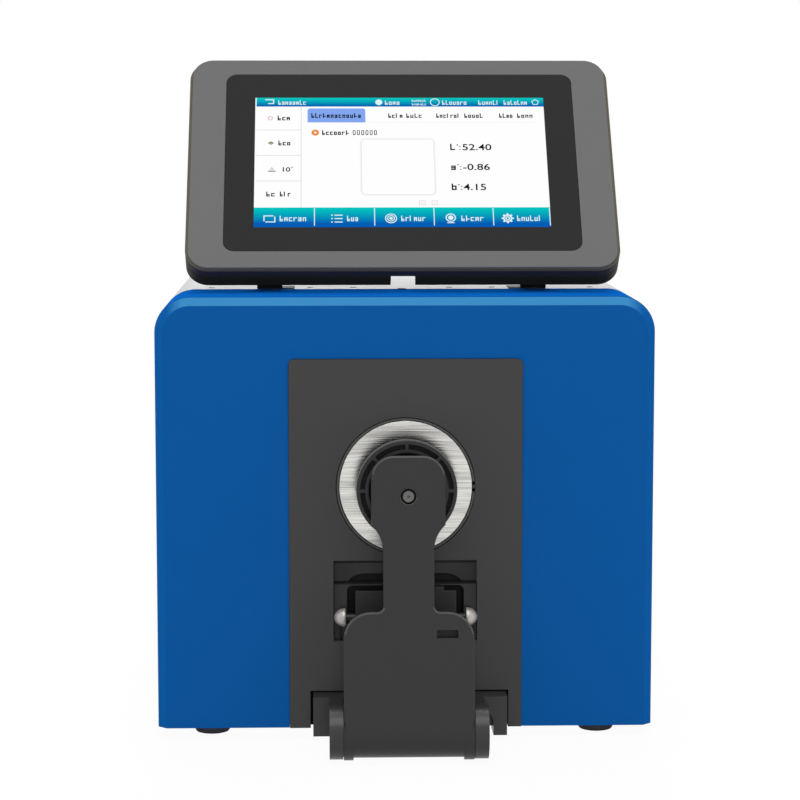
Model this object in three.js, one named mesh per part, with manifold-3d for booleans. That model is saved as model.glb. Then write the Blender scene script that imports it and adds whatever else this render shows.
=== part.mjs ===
// Benchtop sphere spectrophotometer with a tilted touch display and a sprung sample clamp.
// Millimetres, +Z up, the front faces -Y. The front face of the blue shell is y = 0 while the
// pieces are laid out, and the whole group is then centred on its footprint.
import * as THREE from "three";
import { mergeVertices } from "three/addons/utils/BufferGeometryUtils.js";
import Module from "manifold-3d";

const wasm = await Module();
wasm.setup();

// Clearances and the overrun of cuts
const fit = 0.3;
const overrun = 2;
const weld = 1e-4;

// Facet counts
const facets = {
  fine: 48, round: 32, small: 16, nut: 6, arc: 4, slot: 1, coil: 8, wire: 3, sphere: 24, rings: 12,
};

// Casing
const body = {
  width: 252,
  height: 219.5,
  depth: 340,
  frontDepth: 62,
  cornerRadius: 23,
  chamfer: 4.5,
  frontWall: 3.5,
  wall: 2.5,
  seam: 0.4,
};
const foot = {
  height: 5.5, radius: 8, tipRadius: 5.5, sideInset: 27, frontInset: 18, backInset: 20,
  stemRadius: 2, stemHeight: 2,
};
const base = { thickness: 2, ventRows: 6, ventLength: 60, ventWidth: 4, ventPitch: 10 };
const bulkhead = { front: 4.8, thickness: 3, portRadius: 27 };
const backPanel = {
  thickness: 2, inset: 1.5,
  ventRows: 9, ventColumns: 2, ventLength: 70, ventWidth: 3, ventPitch: 7, ventSpacing: 90,
  ventShare: 0.567,
};

// Front plate with the aperture, the recess below it and the notch for the hinge
const plate = { width: 117.4, topShare: 0.8579, proud: 1.5, thickness: 6, cornerRadius: 2.6 };
const port = { heightShare: 0.564, wellRadius: 35.2 };
const seat = { thickness: 3, holeRadius: 16, lipDrop: 0.25 };
const mask = {
  radius: 33.5, thickness: 2.5, holeRadius: 12.7, rimRadius: 17, notchRadius: 0.8, notchRise: 1.65,
};
const recess = {
  width: 73, topDrop: 37.7, bottomDrop: 79, depth: 15.5, wall: 1.6,
  pocketWidth: 55, pocketDrop: 47.1, pocketRadius: 9, pocketDepth: 5,
};
const frame = {
  front: 3.7, back: 13.2, cheek: 6.5, topBar: 1.2, height: 30.1, gapRadius: 3,
  stripWidth: 3.4, stripRise: 24.7, stripStart: 7.7, stripProud: 0.8,
  grooveWidth: 0.9, grooveDepth: 3,
};
const guide = {
  width: 51, height: 26.3, front: -4.5, back: 12.9, faceThickness: 3, troughDepth: 6,
  lipWidth: 4.6, lipInset: 6.2, lipHeight: 2.2,
};
const crossPin = { radius: 2, rise: 12.4, y: -1.5, headRadius: 4.85, headDepth: 5.8, neck: 30.2 };

// Hinge of the clamp arm
const axle = { y: -48, z: 15, radius: 3, knuckleRadius: 13.4, length: 77 };
const hinge = {
  width: 97.9, shift: 1.95, front: -13, top: 24, bottom: 4, notchGap: 1.3,
  lugInner: 32.2, lugOuter: 38.9, lugTop: 24, lugBottom: 6.5,
  screwX: 0, screwZ: 14, screwHole: 3.7, screwDepth: 6, screwHead: 3.2, screwHeadDepth: 3,
  pocketX: 38, pocketZ: 10.5, pocketRadius: 6, pocketDepth: 6, gateHeight: 3.5,
};
const spring = {
  clearance: 0.5, wireRadius: 0.9, turns: 12, pitch: 3.2, boreRadius: 6.4,
};

// Clamp arm, in its own frame: origin on the hinge axis, leaning back by the lean angle
const arm = {
  headFront: -42.06,
  barrelRadius: 12.6,
  cheekRadius: 14,
  cheekWidth: 4.7,
  thickness: 11,
  halfWidth: 31.9,
  neckHalf: 12.4,
  headHalf: 18.1,
  shoulderShare: 0.5113,
  shoulderRadius: 13.1,
  filletRadius: 3,
  flareRadius: 17,
  headDrop: 10.8,
  headRise: 19.9,
  headRadius: 11,
  bevel: 0.9,
  wall: 3,
  coverThickness: 2,
  slotX: 18.7,
  slotDrop: 10.7,
  slotWidth: 10.4,
  slotHeight: 3.8,
  screwRecess: 3.8,
  screwRadius: 2.9,
  screwDepth: 2.2,
  crossWidth: 0.8,
  crossLength: 3.4,
  crossDepth: 0.9,
};
const pad = {
  front: -20, rise: 0.7, radius: 25.1, thickness: 8,
  windowInner: 20.8, windowOuter: 23.3, windows: 8, spoke: 1.6, windowDepth: 5,
  hubRadius: 19, hubDepth: 2.2, bossRadius: 8,
  cushionRadius: 24, cushionHole: 14, cushionThickness: 7.8, cushionLip: 1.2,
};
const ball = { y: -29.8, radius: 5.2, neckRadius: 3 };

// Display, in its own frame: origin at the middle of the picture, front face at y = 0
const display = {
  y: 73.4,
  middleRise: 66.4,
  tilt: THREE.MathUtils.degToRad(38.9),
  width: 221.5,
  height: 137.4,
  rise: 0.35,
  radius: 15,
  panelThickness: 1.2,
  frameThickness: 2.2,
  shellThickness: 4.2,
  standThickness: 7.5,
  wall: 2,
  glassWidth: 185,
  glassHeight: 116.8,
  glassRise: 0.47,
  glassRadius: 5.7,
  glassThickness: 1.2,
  pictureWidth: 154.08,
  pictureHeight: 85.92,
  pictureFrame: 4,
  pictureThickness: 3.2,
  notchWidth: 12.7,
  notchHeight: 14,
};
const leg = {
  placeShare: 0.672, width: 13.2, front: 63, thickness: 6, flangeWidth: 6.3, flangeDepth: 17,
  flangeThickness: 1, pivotY: 66, pivotRise: 21, knuckleRadius: 5, pinRadius: 2,
  lugWidth: 5, lugRadius: 4.6,
};
const topScrew = { radius: 1.6, height: 0.5, shank: 1, y: 73, shares: [0.2476, 0.466, 0.971] };
const cableSlot = { width: 4.4, depth: 1.6, height: 1.5 };

// Optics and electronics inside
const sphere = {
  radiusShare: 0.36, frontGap: 11, wall: 4, flange: 6, flangeThickness: 4, collarRadius: 25.5,
  collarBore: 20, collarShare: 0.9, lensShare: 0.86, lampShare: 0.54, meterShare: 0.396,
  lampPort: 14, lensPort: 11,
};
const cradle = { widthShare: 1.392, archShare: 0.78, depth: 24, saddleGap: 0.4, lip: 16 };
const lamp = {
  width: 70, height: 44, startShare: 0.158, depthShare: 0.3626, tubeRadius: 12, edge: 3,
};
const spectrometer = {
  rise: 14.5, widthShare: 0.9717, startShare: 0.2047, depthShare: 0.538, edge: 4, snout: 10,
};
const board = {
  width: 6, sideGap: 11.5, middleShare: 0.588, depthShare: 0.441, bottomShare: 0.203,
  heightShare: 0.5, chip: 24, chipDepth: 4,
};
const supply = {
  height: 60, placeShare: 0.7126, widthShare: 0.3725, startShare: 0.035, depthShare: 0.643, edge: 2,
};
const standoff = { radius: 3.2, spacingShare: 0.6, riseShare: 0.64 };

// Rear connectors
const inlet = {
  placeShare: 0.68, z: 46, width: 30, height: 24, flange: 5, flangeThickness: 2, depth: 22,
  cavityWidth: 24.5, cavityHeight: 17, cavityDepth: 16, corner: 5,
  pinWidth: 2, pinHeight: 4, pinLength: 13, pinSpacing: 7, earthDrop: 4,
};
const rocker = {
  z: 84, width: 19, height: 13, frameFlange: 2.5, frameThickness: 1.8, depth: 14,
  bend: THREE.MathUtils.degToRad(8), capWidth: 17, capHeight: 11, capRise: 2.6, capDepth: 7,
  pivotDepth: 3.2, pinRadius: 1, pinLength: 0.7,
};
const usb = {
  z: 58, hostX: 12, deviceX: -18, hostWidth: 14, hostHeight: 7.5, deviceWidth: 12, deviceHeight: 11,
  wall: 0.8, depth: 14, proud: 0.6, tongueShare: 0.34,
  tongueWidthShare: 0.8,
};
const serial = {
  placeShare: 0.502, z: 58, width: 17, height: 9.5, slopeShare: 0.12, corner: 2.2, flangeWidth: 31,
  flangeHeight: 13, flangeThickness: 1, depth: 11, proud: 5, wall: 0.9, nutX: 12.5, nutRadius: 2.6,
  nutProud: 4,
};

// Finishes
const finish = {
  blue: { color: 0x105a9c, roughness: 0.42, metalness: 0.05 },
  grey: { color: 0xc4c5c6, roughness: 0.5, metalness: 0.05 },
  blackPlate: { color: 0x404040, roughness: 0.55, metalness: 0.1 },
  blackArm: { color: 0x3d3d3d, roughness: 0.45, metalness: 0.1 },
  rubber: { color: 0x2b2c2e, roughness: 0.85, metalness: 0 },
  brushed: { color: 0xd0d0cb, roughness: 0.35, metalness: 0.9 },
  chrome: { color: 0xd8d4cc, roughness: 0.12, metalness: 1 },
  steel: { color: 0x9a9c9e, roughness: 0.4, metalness: 0.9 },
  displayGrey: { color: 0x6f6f6f, roughness: 0.5, metalness: 0.05 },
  displayDark: { color: 0x343436, roughness: 0.5, metalness: 0.05 },
  displayShell: { color: 0x181a27, roughness: 0.45, metalness: 0.05 },
  displayBlack: { color: 0x121212, roughness: 0.5, metalness: 0.05 },
  glass: { color: 0x323232, roughness: 0.12, metalness: 0 },
  picture: { color: 0xf4f6f8, roughness: 0.3, metalness: 0 },
  white: { color: 0xf2f2ee, roughness: 0.9, metalness: 0 },
  board: { color: 0x1f6b3a, roughness: 0.6, metalness: 0.05 },
  sheet: { color: 0xb9bbbd, roughness: 0.45, metalness: 0.8 },
};

// Places and sizes that follow from the casing
const bodyBottom = foot.height;
const bodyTop = foot.height + body.height;
const plateFront = -plate.proud;
const backFace = body.depth;
const innerWidth = body.width - 2 * body.wall;
const innerHalf = innerWidth / 2;
const innerTop = bodyTop - body.wall;
const innerRadius = body.cornerRadius - body.wall;
const flatHalf = body.width / 2 - body.cornerRadius;

foot.spacing = body.width - 2 * foot.sideInset;
backPanel.ventBottom = bodyBottom + backPanel.ventShare * body.height;
port.height = bodyBottom + port.heightShare * body.height;
plate.top = bodyBottom + plate.topShare * body.height;
recess.top = port.height - recess.topDrop;
recess.bottom = port.height - recess.bottomDrop;
frame.top = recess.bottom + frame.height;
frame.stripTop = recess.bottom + frame.stripRise;
frame.stripBottom = recess.bottom + frame.stripStart;
guide.top = recess.bottom + guide.height;
crossPin.height = recess.bottom + crossPin.rise;

// The arm's face runs from the front of the barrel to the place of its screw.
pad.z = port.height + pad.rise;
arm.screwZ = pad.z - axle.z;
arm.lean =
  Math.asin((arm.headFront - axle.y) / Math.hypot(arm.screwZ, arm.barrelRadius)) +
  Math.atan2(arm.barrelRadius, arm.screwZ);
arm.shoulderHeight = arm.shoulderShare * arm.screwZ;
arm.slotZ = arm.shoulderHeight - arm.slotDrop;
arm.headStart = arm.screwZ - arm.headDrop;
arm.flareTurn = Math.acos(1 - (arm.headHalf - arm.neckHalf) / arm.flareRadius);
arm.neckTop = arm.headStart - arm.flareRadius * Math.sin(arm.flareTurn);
arm.headTop = arm.screwZ + arm.headRise;

display.z = bodyTop + display.middleRise;
leg.pivotZ = bodyTop + leg.pivotRise;
leg.x = leg.placeShare * flatHalf;

sphere.radius = sphere.radiusShare * body.height;
sphere.y = sphere.frontGap + sphere.radius;
const sphereBack = sphere.y + sphere.radius;
const room = backFace - sphereBack;
const lampAxis = port.height + sphere.lampShare * sphere.radius;
const lensAxis = port.height - sphere.meterShare * sphere.radius;
cradle.width = cradle.widthShare * sphere.radius;
lamp.y = sphereBack + lamp.startShare * room;
lamp.depth = lamp.depthShare * room;
lamp.z = lampAxis - lamp.height / 2;
spectrometer.start = sphereBack + spectrometer.startShare * room;
spectrometer.depth = spectrometer.depthShare * room;
spectrometer.width = spectrometer.widthShare * innerHalf;
spectrometer.z = bodyBottom + spectrometer.rise;
spectrometer.top = lensAxis - 2 * sphere.lensPort;
board.x = board.sideGap - innerHalf;
board.y = board.middleShare * body.depth;
board.depth = board.depthShare * body.depth;
board.z = bodyBottom + board.bottomShare * body.height;
board.height = board.heightShare * body.height;
supply.x = supply.placeShare * innerHalf;
supply.width = supply.widthShare * innerHalf;
supply.depth = supply.depthShare * room;
supply.y = sphereBack + supply.startShare * room + supply.depth / 2;
inlet.x = inlet.placeShare * innerHalf;
rocker.x = inlet.x;
serial.x = serial.placeShare * -innerHalf;

// Solids

function solidOf(geometry) {
  const flat = geometry.index ? geometry.toNonIndexed() : geometry;
  const bare = new THREE.BufferGeometry().setAttribute("position", flat.getAttribute("position"));
  const welded = mergeVertices(bare, weld);
  const triVerts = new Uint32Array(welded.index.array);
  const build = () =>
    new wasm.Manifold(
      new wasm.Mesh({ numProp: 3, vertProperties: welded.attributes.position.array, triVerts }),
    );
  const made = build();
  if (made.volume() > 0) return made;
  for (let i = 0; i < triVerts.length; i += 3) {
    [triVerts[i + 1], triVerts[i + 2]] = [triVerts[i + 2], triVerts[i + 1]];
  }
  return build();
}

function geometryOf(solid) {
  const mesh = solid.getMesh();
  const points = new Float32Array(mesh.numVert * 3);
  for (let i = 0; i < mesh.numVert; i++) {
    points.set(mesh.vertProperties.subarray(i * mesh.numProp, i * mesh.numProp + 3), i * 3);
  }
  const indexed = new THREE.BufferGeometry()
    .setAttribute("position", new THREE.BufferAttribute(points, 3))
    .setIndex(new THREE.BufferAttribute(mesh.triVerts, 1));
  const geometry = indexed.toNonIndexed();
  geometry.computeVertexNormals();
  return geometry;
}

const joined = (...solids) => solids.reduce((sum, next) => sum.add(next));
const less = (solid, ...cuts) => cuts.reduce((rest, cut) => rest.subtract(cut), solid);

// A box between two values on each axis.
function block([x0, x1], [y0, y1], [z0, z1]) {
  const geometry = new THREE.BoxGeometry(x1 - x0, y1 - y0, z1 - z0);
  return solidOf(geometry.translate((x0 + x1) / 2, (y0 + y1) / 2, (z0 + z1) / 2));
}

const span = (middle, size) => [middle - size / 2, middle + size / 2];

// A cylinder along an axis, from one value to another; at holds the two other coordinates.
function rod(axis, radius, [from, to], at, sides = facets.small, endRadius = radius) {
  const geometry = new THREE.CylinderGeometry(endRadius, radius, to - from, sides);
  geometry.translate(0, (from + to) / 2, 0);
  if (axis === "x") geometry.rotateZ(-Math.PI / 2).translate(0, at[0], at[1]);
  if (axis === "y") geometry.translate(at[0], 0, at[1]);
  if (axis === "z") geometry.rotateX(Math.PI / 2).translate(at[0], at[1], 0);
  return solidOf(geometry);
}

// A profile of radius and height pairs turned about an axis.
function turned(axis, profile, at, sides = facets.round) {
  const points = profile.map(([radius, height]) => new THREE.Vector2(radius, height));
  const geometry = new THREE.LatheGeometry(points, sides);
  if (axis === "x") geometry.rotateZ(-Math.PI / 2);
  if (axis === "z") geometry.rotateX(Math.PI / 2);
  return solidOf(geometry.translate(...at));
}

const straight = { bevelEnabled: false, steps: 1, curveSegments: facets.arc };

// An outline in X and Z pushed along Y.
function alongY(shape, [y0, y1], options = straight) {
  const geometry = new THREE.ExtrudeGeometry(shape, { ...options, depth: y1 - y0 });
  return solidOf(geometry.rotateX(Math.PI / 2).translate(0, y1, 0));
}

// Outlines

function roundedBox(width, height, radius, x = 0, z = 0) {
  const shape = new THREE.Shape();
  const [left, right] = span(x, width);
  const [low, high] = span(z, height);
  shape.moveTo(left + radius, low);
  shape.lineTo(right - radius, low);
  shape.absarc(right - radius, low + radius, radius, -Math.PI / 2, 0);
  shape.lineTo(right, high - radius);
  shape.absarc(right - radius, high - radius, radius, 0, Math.PI / 2);
  shape.lineTo(left + radius, high);
  shape.absarc(left + radius, high - radius, radius, Math.PI / 2, Math.PI);
  shape.lineTo(left, low + radius);
  shape.absarc(left + radius, low + radius, radius, Math.PI, 1.5 * Math.PI);
  return shape;
}

// The casing's cross-section: square at the heels and round at both shoulders.
function archway(width, low, high, radius) {
  const shape = new THREE.Shape();
  const half = width / 2;
  shape.moveTo(-half, low);
  shape.lineTo(half, low);
  shape.lineTo(half, high - radius);
  shape.absarc(half - radius, high - radius, radius, 0, Math.PI / 2);
  shape.lineTo(-half + radius, high);
  shape.absarc(-half + radius, high - radius, radius, Math.PI / 2, Math.PI);
  shape.lineTo(-half, low);
  return shape;
}

// Pieces and groups

const whole = new THREE.Group();
const armGroup = new THREE.Group();
armGroup.position.set(0, axle.y, axle.z);
armGroup.rotation.x = -arm.lean;
const displayGroup = new THREE.Group();
displayGroup.position.set(0, display.y, display.z);
displayGroup.rotation.x = -display.tilt;
whole.add(armGroup, displayGroup);

function piece(name, solid, look, home = whole) {
  const mesh = new THREE.Mesh(geometryOf(solid), new THREE.MeshStandardMaterial(finish[look]));
  mesh.name = name;
  home.add(mesh);
  return mesh;
}

// Casing

function frontBezel() {
  const chamfered = {
    bevelEnabled: true, bevelThickness: body.chamfer, bevelSize: body.chamfer,
    bevelOffset: -body.chamfer, bevelSegments: 1, steps: 1, curveSegments: facets.arc,
  };
  const drop = bodyBottom - 2 * body.chamfer;
  const outline = archway(body.width, drop, bodyTop, body.cornerRadius);
  const outer = alongY(outline, [body.chamfer, body.frontDepth + overrun], chamfered);
  const trim = block(
    [-body.width, body.width], [-body.depth, body.depth], [drop - overrun, bodyBottom],
  );
  const behind = block(
    [-body.width, body.width], [body.frontDepth, body.depth], [drop - overrun, body.depth],
  );
  const inside = alongY(
    archway(innerWidth, drop - overrun, innerTop, innerRadius),
    [body.frontWall, body.frontDepth + body.chamfer + 2 * overrun],
  );
  const window = alongY(
    roundedBox(
      plate.width + 2 * fit, plate.top - drop + fit, plate.cornerRadius + fit, 0,
      (plate.top + fit + drop) / 2,
    ),
    [-overrun, body.frontWall + overrun],
  );
  const cable = block(
    span(0, cableSlot.width),
    [body.frontDepth - cableSlot.depth, body.frontDepth + overrun],
    [bodyTop - cableSlot.height, bodyTop + overrun],
  );
  return less(outer, trim, behind, inside, window, cable);
}

function rearHousing() {
  const start = body.frontDepth + body.seam;
  const outer = alongY(
    archway(body.width, bodyBottom, bodyTop, body.cornerRadius), [start, backFace],
  );
  const inside = alongY(
    archway(innerWidth, bodyBottom - overrun, innerTop, innerRadius),
    [start - overrun, backFace + overrun],
  );
  const holes = screwPlaces().map(([x, y]) =>
    rod("z", topScrew.shank + fit, [innerTop - overrun, bodyTop + overrun], [x, y]),
  );
  return less(outer, inside, ...holes);
}

function screwPlaces() {
  const offsets = topScrew.shares.map((share) => share * flatHalf);
  return offsets.flatMap((offset) => [[-offset, topScrew.y], [offset, topScrew.y]]);
}

function basePlate() {
  const front = bulkhead.front + bulkhead.thickness + fit;
  const back = backFace - backPanel.inset - backPanel.thickness - fit;
  const through = [bodyBottom - overrun, bodyBottom + base.thickness + overrun];
  const floor = block(
    span(0, innerWidth - 2 * fit), [front, back], [bodyBottom, bodyBottom + base.thickness],
  );
  const vents = [];
  for (let row = 0; row < base.ventRows; row++) {
    const y = supply.y - (base.ventRows * base.ventPitch) / 2 + row * base.ventPitch;
    vents.push(block(span(-supply.x / 2, base.ventLength), span(y, base.ventWidth), through));
  }
  const stems = footPlaces().map(([, x, y]) => rod("z", foot.stemRadius + fit, through, [x, y]));
  return less(floor, ...vents, ...stems);
}

function footPlaces() {
  const half = foot.spacing / 2;
  const front = foot.frontInset;
  const back = backFace - foot.backInset;
  return [
    ["foot_front_left", -half, front],
    ["foot_front_right", half, front],
    ["foot_rear_left", -half, back],
    ["foot_rear_right", half, back],
  ];
}

function footAt(x, y) {
  const profile = [
    [0, 0], [foot.tipRadius, 0], [foot.radius, foot.height / 2], [foot.radius, bodyBottom - fit],
    [foot.stemRadius, bodyBottom - fit], [foot.stemRadius, bodyBottom + foot.stemHeight],
    [0, bodyBottom + foot.stemHeight],
  ];
  return turned("z", profile.map(([r, h]) => [r, -h]), [0, 0, 0], facets.small)
    .rotate([180, 0, 0])
    .translate([x, y, 0]);
}

function frontBulkhead() {
  const wall = alongY(
    archway(innerWidth - 2 * fit, bodyBottom + fit, innerTop - fit, innerRadius),
    [bulkhead.front, bulkhead.front + bulkhead.thickness],
  );
  const through = [bulkhead.front - overrun, bulkhead.front + bulkhead.thickness + overrun];
  const portHole = rod("y", bulkhead.portRadius, through, [0, port.height], facets.round);
  const trayHole = block(
    span(0, recess.width + 2 * recess.wall + 2 * fit), through,
    [recess.bottom - recess.wall - fit, recess.top + recess.wall + fit],
  );
  return less(wall, portHole, trayHole);
}

function backPanelSheet() {
  const y = [backFace - backPanel.inset - backPanel.thickness, backFace - backPanel.inset];
  const sheet = alongY(
    archway(innerWidth - 2 * fit, bodyBottom + fit, innerTop - fit, innerRadius), y,
  );
  const through = [y[0] - overrun, y[1] + overrun];
  const cuts = [];
  for (let column = 0; column < backPanel.ventColumns; column++) {
    const x = (column - (backPanel.ventColumns - 1) / 2) * backPanel.ventSpacing;
    for (let row = 0; row < backPanel.ventRows; row++) {
      const z = backPanel.ventBottom + row * backPanel.ventPitch;
      cuts.push(
        alongY(
          roundedBox(
            backPanel.ventLength, backPanel.ventWidth, backPanel.ventWidth / 2 - weld, x, z,
          ),
          through, { ...straight, curveSegments: facets.slot },
        ),
      );
    }
  }
  const hole = (x, z, width, height) =>
    block(span(x, width + 2 * fit), through, span(z, height + 2 * fit));
  cuts.push(
    hole(inlet.x, inlet.z, inlet.width, inlet.height),
    hole(rocker.x, rocker.z, rocker.width, rocker.height),
    hole(usb.hostX, usb.z, usb.hostWidth, usb.hostHeight),
    hole(usb.deviceX, usb.z, usb.deviceWidth, usb.deviceHeight),
    hole(serial.x, serial.z, serial.width + 2 * serial.wall, serial.height + 2 * serial.wall),
  );
  for (const side of [-1, 1]) {
    cuts.push(rod("y", serial.nutRadius + fit, through, [serial.x + side * serial.nutX, serial.z]));
  }
  return less(sheet, ...cuts);
}

piece("front_bezel", frontBezel(), "blue");
piece("rear_housing", rearHousing(), "grey");
piece("base_plate", basePlate(), "sheet");
piece("front_bulkhead", frontBulkhead(), "sheet");
piece("back_panel", backPanelSheet(), "grey");
for (const [name, x, y] of footPlaces()) piece(name, footAt(x, y), "rubber");
screwPlaces().forEach(([x, y], i) => {
  const head = rod("z", topScrew.radius, [bodyTop + weld, bodyTop + topScrew.height], [x, y]);
  const shank = rod("z", topScrew.shank, [innerTop, bodyTop + topScrew.height / 2], [x, y]);
  piece("top_screw_" + (i + 1), joined(head, shank), "steel");
});

// Front plate and aperture

const notchMiddle = hinge.shift;
const notchWidth = hinge.width + 2 * hinge.notchGap;

function aperturePlate() {
  const y = [plateFront, plateFront + plate.thickness];
  const low = bodyBottom - 2 * plate.cornerRadius;
  const outline = roundedBox(
    plate.width, plate.top - low, plate.cornerRadius, 0, (plate.top + low) / 2,
  );
  const through = [y[0] - overrun, y[1] + overrun];
  const trim = block(span(0, 2 * plate.width), through, [low - overrun, bodyBottom]);
  const well = rod("y", port.wellRadius, through, [0, port.height], facets.fine);
  const opening = block(span(0, recess.width), through, [recess.bottom, recess.top]);
  const notch = block(
    span(notchMiddle, notchWidth), through, [low - overrun, hinge.top + hinge.notchGap / 2],
  );
  return less(alongY(outline, y), trim, well, opening, notch);
}

function ringSolid([y0, y1], outer, inner, sides = facets.fine) {
  return less(
    rod("y", outer, [y0, y1], [0, port.height], sides),
    rod("y", inner, [y0 - overrun, y1 + overrun], [0, port.height], facets.round),
  );
}

// The two small round notches at the right edge of the mask, which the seat's lip shares.
function maskNotches([y0, y1]) {
  return [-1, 1].map((side) =>
    rod("y", mask.notchRadius, [y0 - overrun, y1 + overrun],
      [mask.radius, port.height + side * mask.notchRise]),
  );
}

function targetMask() {
  const y = [plateFront, plateFront + mask.thickness];
  const disc = ringSolid(y, mask.radius, mask.holeRadius);
  const cone = rod(
    "y", mask.rimRadius, [y[0] - weld, y[1] - mask.thickness / 2], [0, port.height], facets.round,
    mask.holeRadius,
  );
  return less(disc, cone, ...maskNotches(y));
}

const seatY = [plateFront + mask.thickness + fit, plateFront + mask.thickness + fit + seat.thickness];

// The ring that the mask sits on, with a thin lip that stands round the mask.
function apertureSeat() {
  const disc = ringSolid(seatY, port.wellRadius - fit, seat.holeRadius);
  const y = [plateFront + seat.lipDrop, seatY[1] - seat.thickness / 2];
  const lip = less(
    rod("y", port.wellRadius - fit, y, [0, port.height], facets.fine),
    rod("y", mask.radius + fit, [y[0] - overrun, y[1] + overrun], [0, port.height], facets.fine),
    ...maskNotches([y[0], seatY[0] - overrun]),
  );
  return joined(disc, lip);
}

piece("aperture_plate", aperturePlate(), "blackPlate");
piece("aperture_seat", apertureSeat(), "blackPlate");
piece("target_mask", targetMask(), "brushed");

// Recess with the guide frame and its cross pin

// The tray behind the plate, with a deeper arched pocket in its back wall.
function recessTray() {
  const y = [plateFront + plate.thickness + fit, recess.depth];
  const outer = block(
    span(0, recess.width + 2 * recess.wall), y,
    [recess.bottom - recess.wall, recess.top + recess.wall],
  );
  const inner = block(
    span(0, recess.width), [y[0] - overrun, y[1] - recess.wall], [recess.bottom, recess.top],
  );
  const pocketTop = port.height - recess.pocketDrop;
  const shell = alongY(
    archway(
      recess.pocketWidth + 2 * recess.wall, recess.bottom - recess.wall, pocketTop + recess.wall,
      recess.pocketRadius + recess.wall,
    ),
    [recess.depth - recess.wall / 2, recess.depth + recess.pocketDepth],
  );
  const pocket = alongY(
    archway(recess.pocketWidth, recess.bottom, pocketTop, recess.pocketRadius),
    [y[0], recess.depth + recess.pocketDepth - recess.wall],
  );
  return less(joined(outer, shell), inner, pocket);
}

function guideFrame() {
  const half = recess.width / 2 - fit;
  const y = [frame.front, frame.back];
  const low = recess.bottom + fit;
  const outer = block([-half, half], y, [low, frame.top]);
  const gapHalf = half - frame.cheek;
  const gapTop = frame.top - frame.topBar;
  const gap = alongY(
    archway(2 * gapHalf, low - overrun, gapTop, frame.gapRadius), [y[0] - overrun, y[1] + overrun],
  );
  const strips = [-1, 1].map((side) =>
    block(
      span(side * (gapHalf + frame.stripWidth / 2), frame.stripWidth),
      [y[0] - frame.stripProud, y[0] + frame.stripProud],
      [frame.stripBottom + crossPin.headRadius * 2, frame.stripTop],
    ),
  );
  const grooves = [-1, 1].map((side) =>
    block(
      span(side * (gapHalf + frame.stripWidth - frame.grooveWidth / 2), frame.grooveWidth),
      [y[0] - overrun, y[0] + frame.grooveDepth],
      [low - overrun, crossPin.height - crossPin.headRadius],
    ),
  );
  return less(joined(less(outer, gap), ...strips), ...grooves);
}

// The block inside the frame: a front face with a small lip, and a lower part behind it.
function guideBlock() {
  const low = recess.bottom + fit;
  const main = block(span(0, guide.width), [guide.front, guide.back], [low, guide.top]);
  const trough = block(
    span(0, guide.width + overrun), [guide.front + guide.faceThickness, guide.back + overrun],
    [guide.top - guide.troughDepth, guide.top + overrun],
  );
  const lipEnd = guide.width / 2 - guide.lipInset;
  const lip = block(
    [lipEnd - guide.lipWidth, lipEnd], [guide.front, guide.front + guide.faceThickness],
    [guide.top - fit, guide.top + guide.lipHeight],
  );
  const lower = block(
    span(0, guide.width + overrun), [guide.front - overrun, -crossPin.y],
    [low - overrun, crossPin.height - crossPin.headRadius],
  );
  const bore = rod(
    "x", crossPin.radius + fit, span(0, guide.width + 2 * overrun), [crossPin.y, crossPin.height],
  );
  return less(joined(less(main, trough), lip), lower, bore);
}

// Half an ellipse turned about X, with its flat side towards the middle of the instrument.
function pinHead(side) {
  const quarter = facets.small / 4;
  const dome = Array.from({ length: quarter + 1 }, (_, i) => {
    const turn = (i / quarter) * (Math.PI / 2);
    return [crossPin.headRadius * Math.cos(turn), crossPin.headDepth * Math.sin(turn)];
  });
  dome[quarter][0] = 0;
  const profile = [[0, 0], ...dome];
  const head = turned("x", profile, [0, 0, 0], facets.small);
  const placed = side < 0 ? head.mirror([1, 0, 0]) : head;
  return placed.translate([side * (crossPin.neck + fit), crossPin.y, crossPin.height]);
}

piece("recess_tray", recessTray(), "blackPlate");
piece("guide_frame", guideFrame(), "blackPlate");
piece("guide_block", guideBlock(), "blackArm");
piece(
  "cross_pin",
  rod("x", crossPin.radius, [-crossPin.neck, crossPin.neck], [crossPin.y, crossPin.height]),
  "blackArm",
);
piece("pin_head_left", pinHead(-1), "chrome");
piece("pin_head_right", pinHead(1), "chrome");

// Hinge base, axle and closing spring

const axleAt = [axle.y, axle.z];

// The block in the plate's notch with its two knuckled lugs. Beside the right lug it has a round
// pocket, and a gate below that goes through to the back.
function hingeBase() {
  const back = bulkhead.front - fit;
  const main = block(
    span(hinge.shift, hinge.width), [hinge.front, back], [hinge.bottom, hinge.top],
  );
  const inPocket = [hinge.front - overrun, hinge.front + hinge.pocketDepth];
  const across = span(hinge.pocketX, 2 * hinge.pocketRadius);
  const pocket = joined(
    rod("y", hinge.pocketRadius, inPocket, [hinge.pocketX, hinge.pocketZ], facets.round),
    block(across, inPocket, [hinge.bottom - overrun, hinge.pocketZ]),
    block(
      across, [hinge.front - overrun, back + overrun],
      [hinge.bottom - overrun, hinge.bottom + hinge.gateHeight],
    ),
  );
  const lugs = [-1, 1].map((side) => {
    const x = [hinge.lugInner, hinge.lugOuter].map((v) => side * v).sort((a, b) => a - b);
    const web = block(x, [axle.y, inPocket[1] + overrun], [hinge.lugBottom, hinge.lugTop]);
    return joined(web, rod("x", axle.knuckleRadius, x, axleAt, facets.round));
  });
  const bore = rod(
    "x", axle.radius + fit, span(0, 2 * hinge.lugOuter + 2 * overrun), axleAt, facets.small,
  );
  const screwHole = rod(
    "y", hinge.screwHole, [hinge.front - overrun, hinge.front + hinge.screwDepth],
    [hinge.screwX, hinge.screwZ],
  );
  return less(joined(less(main, pocket), ...lugs), bore, screwHole);
}

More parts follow.
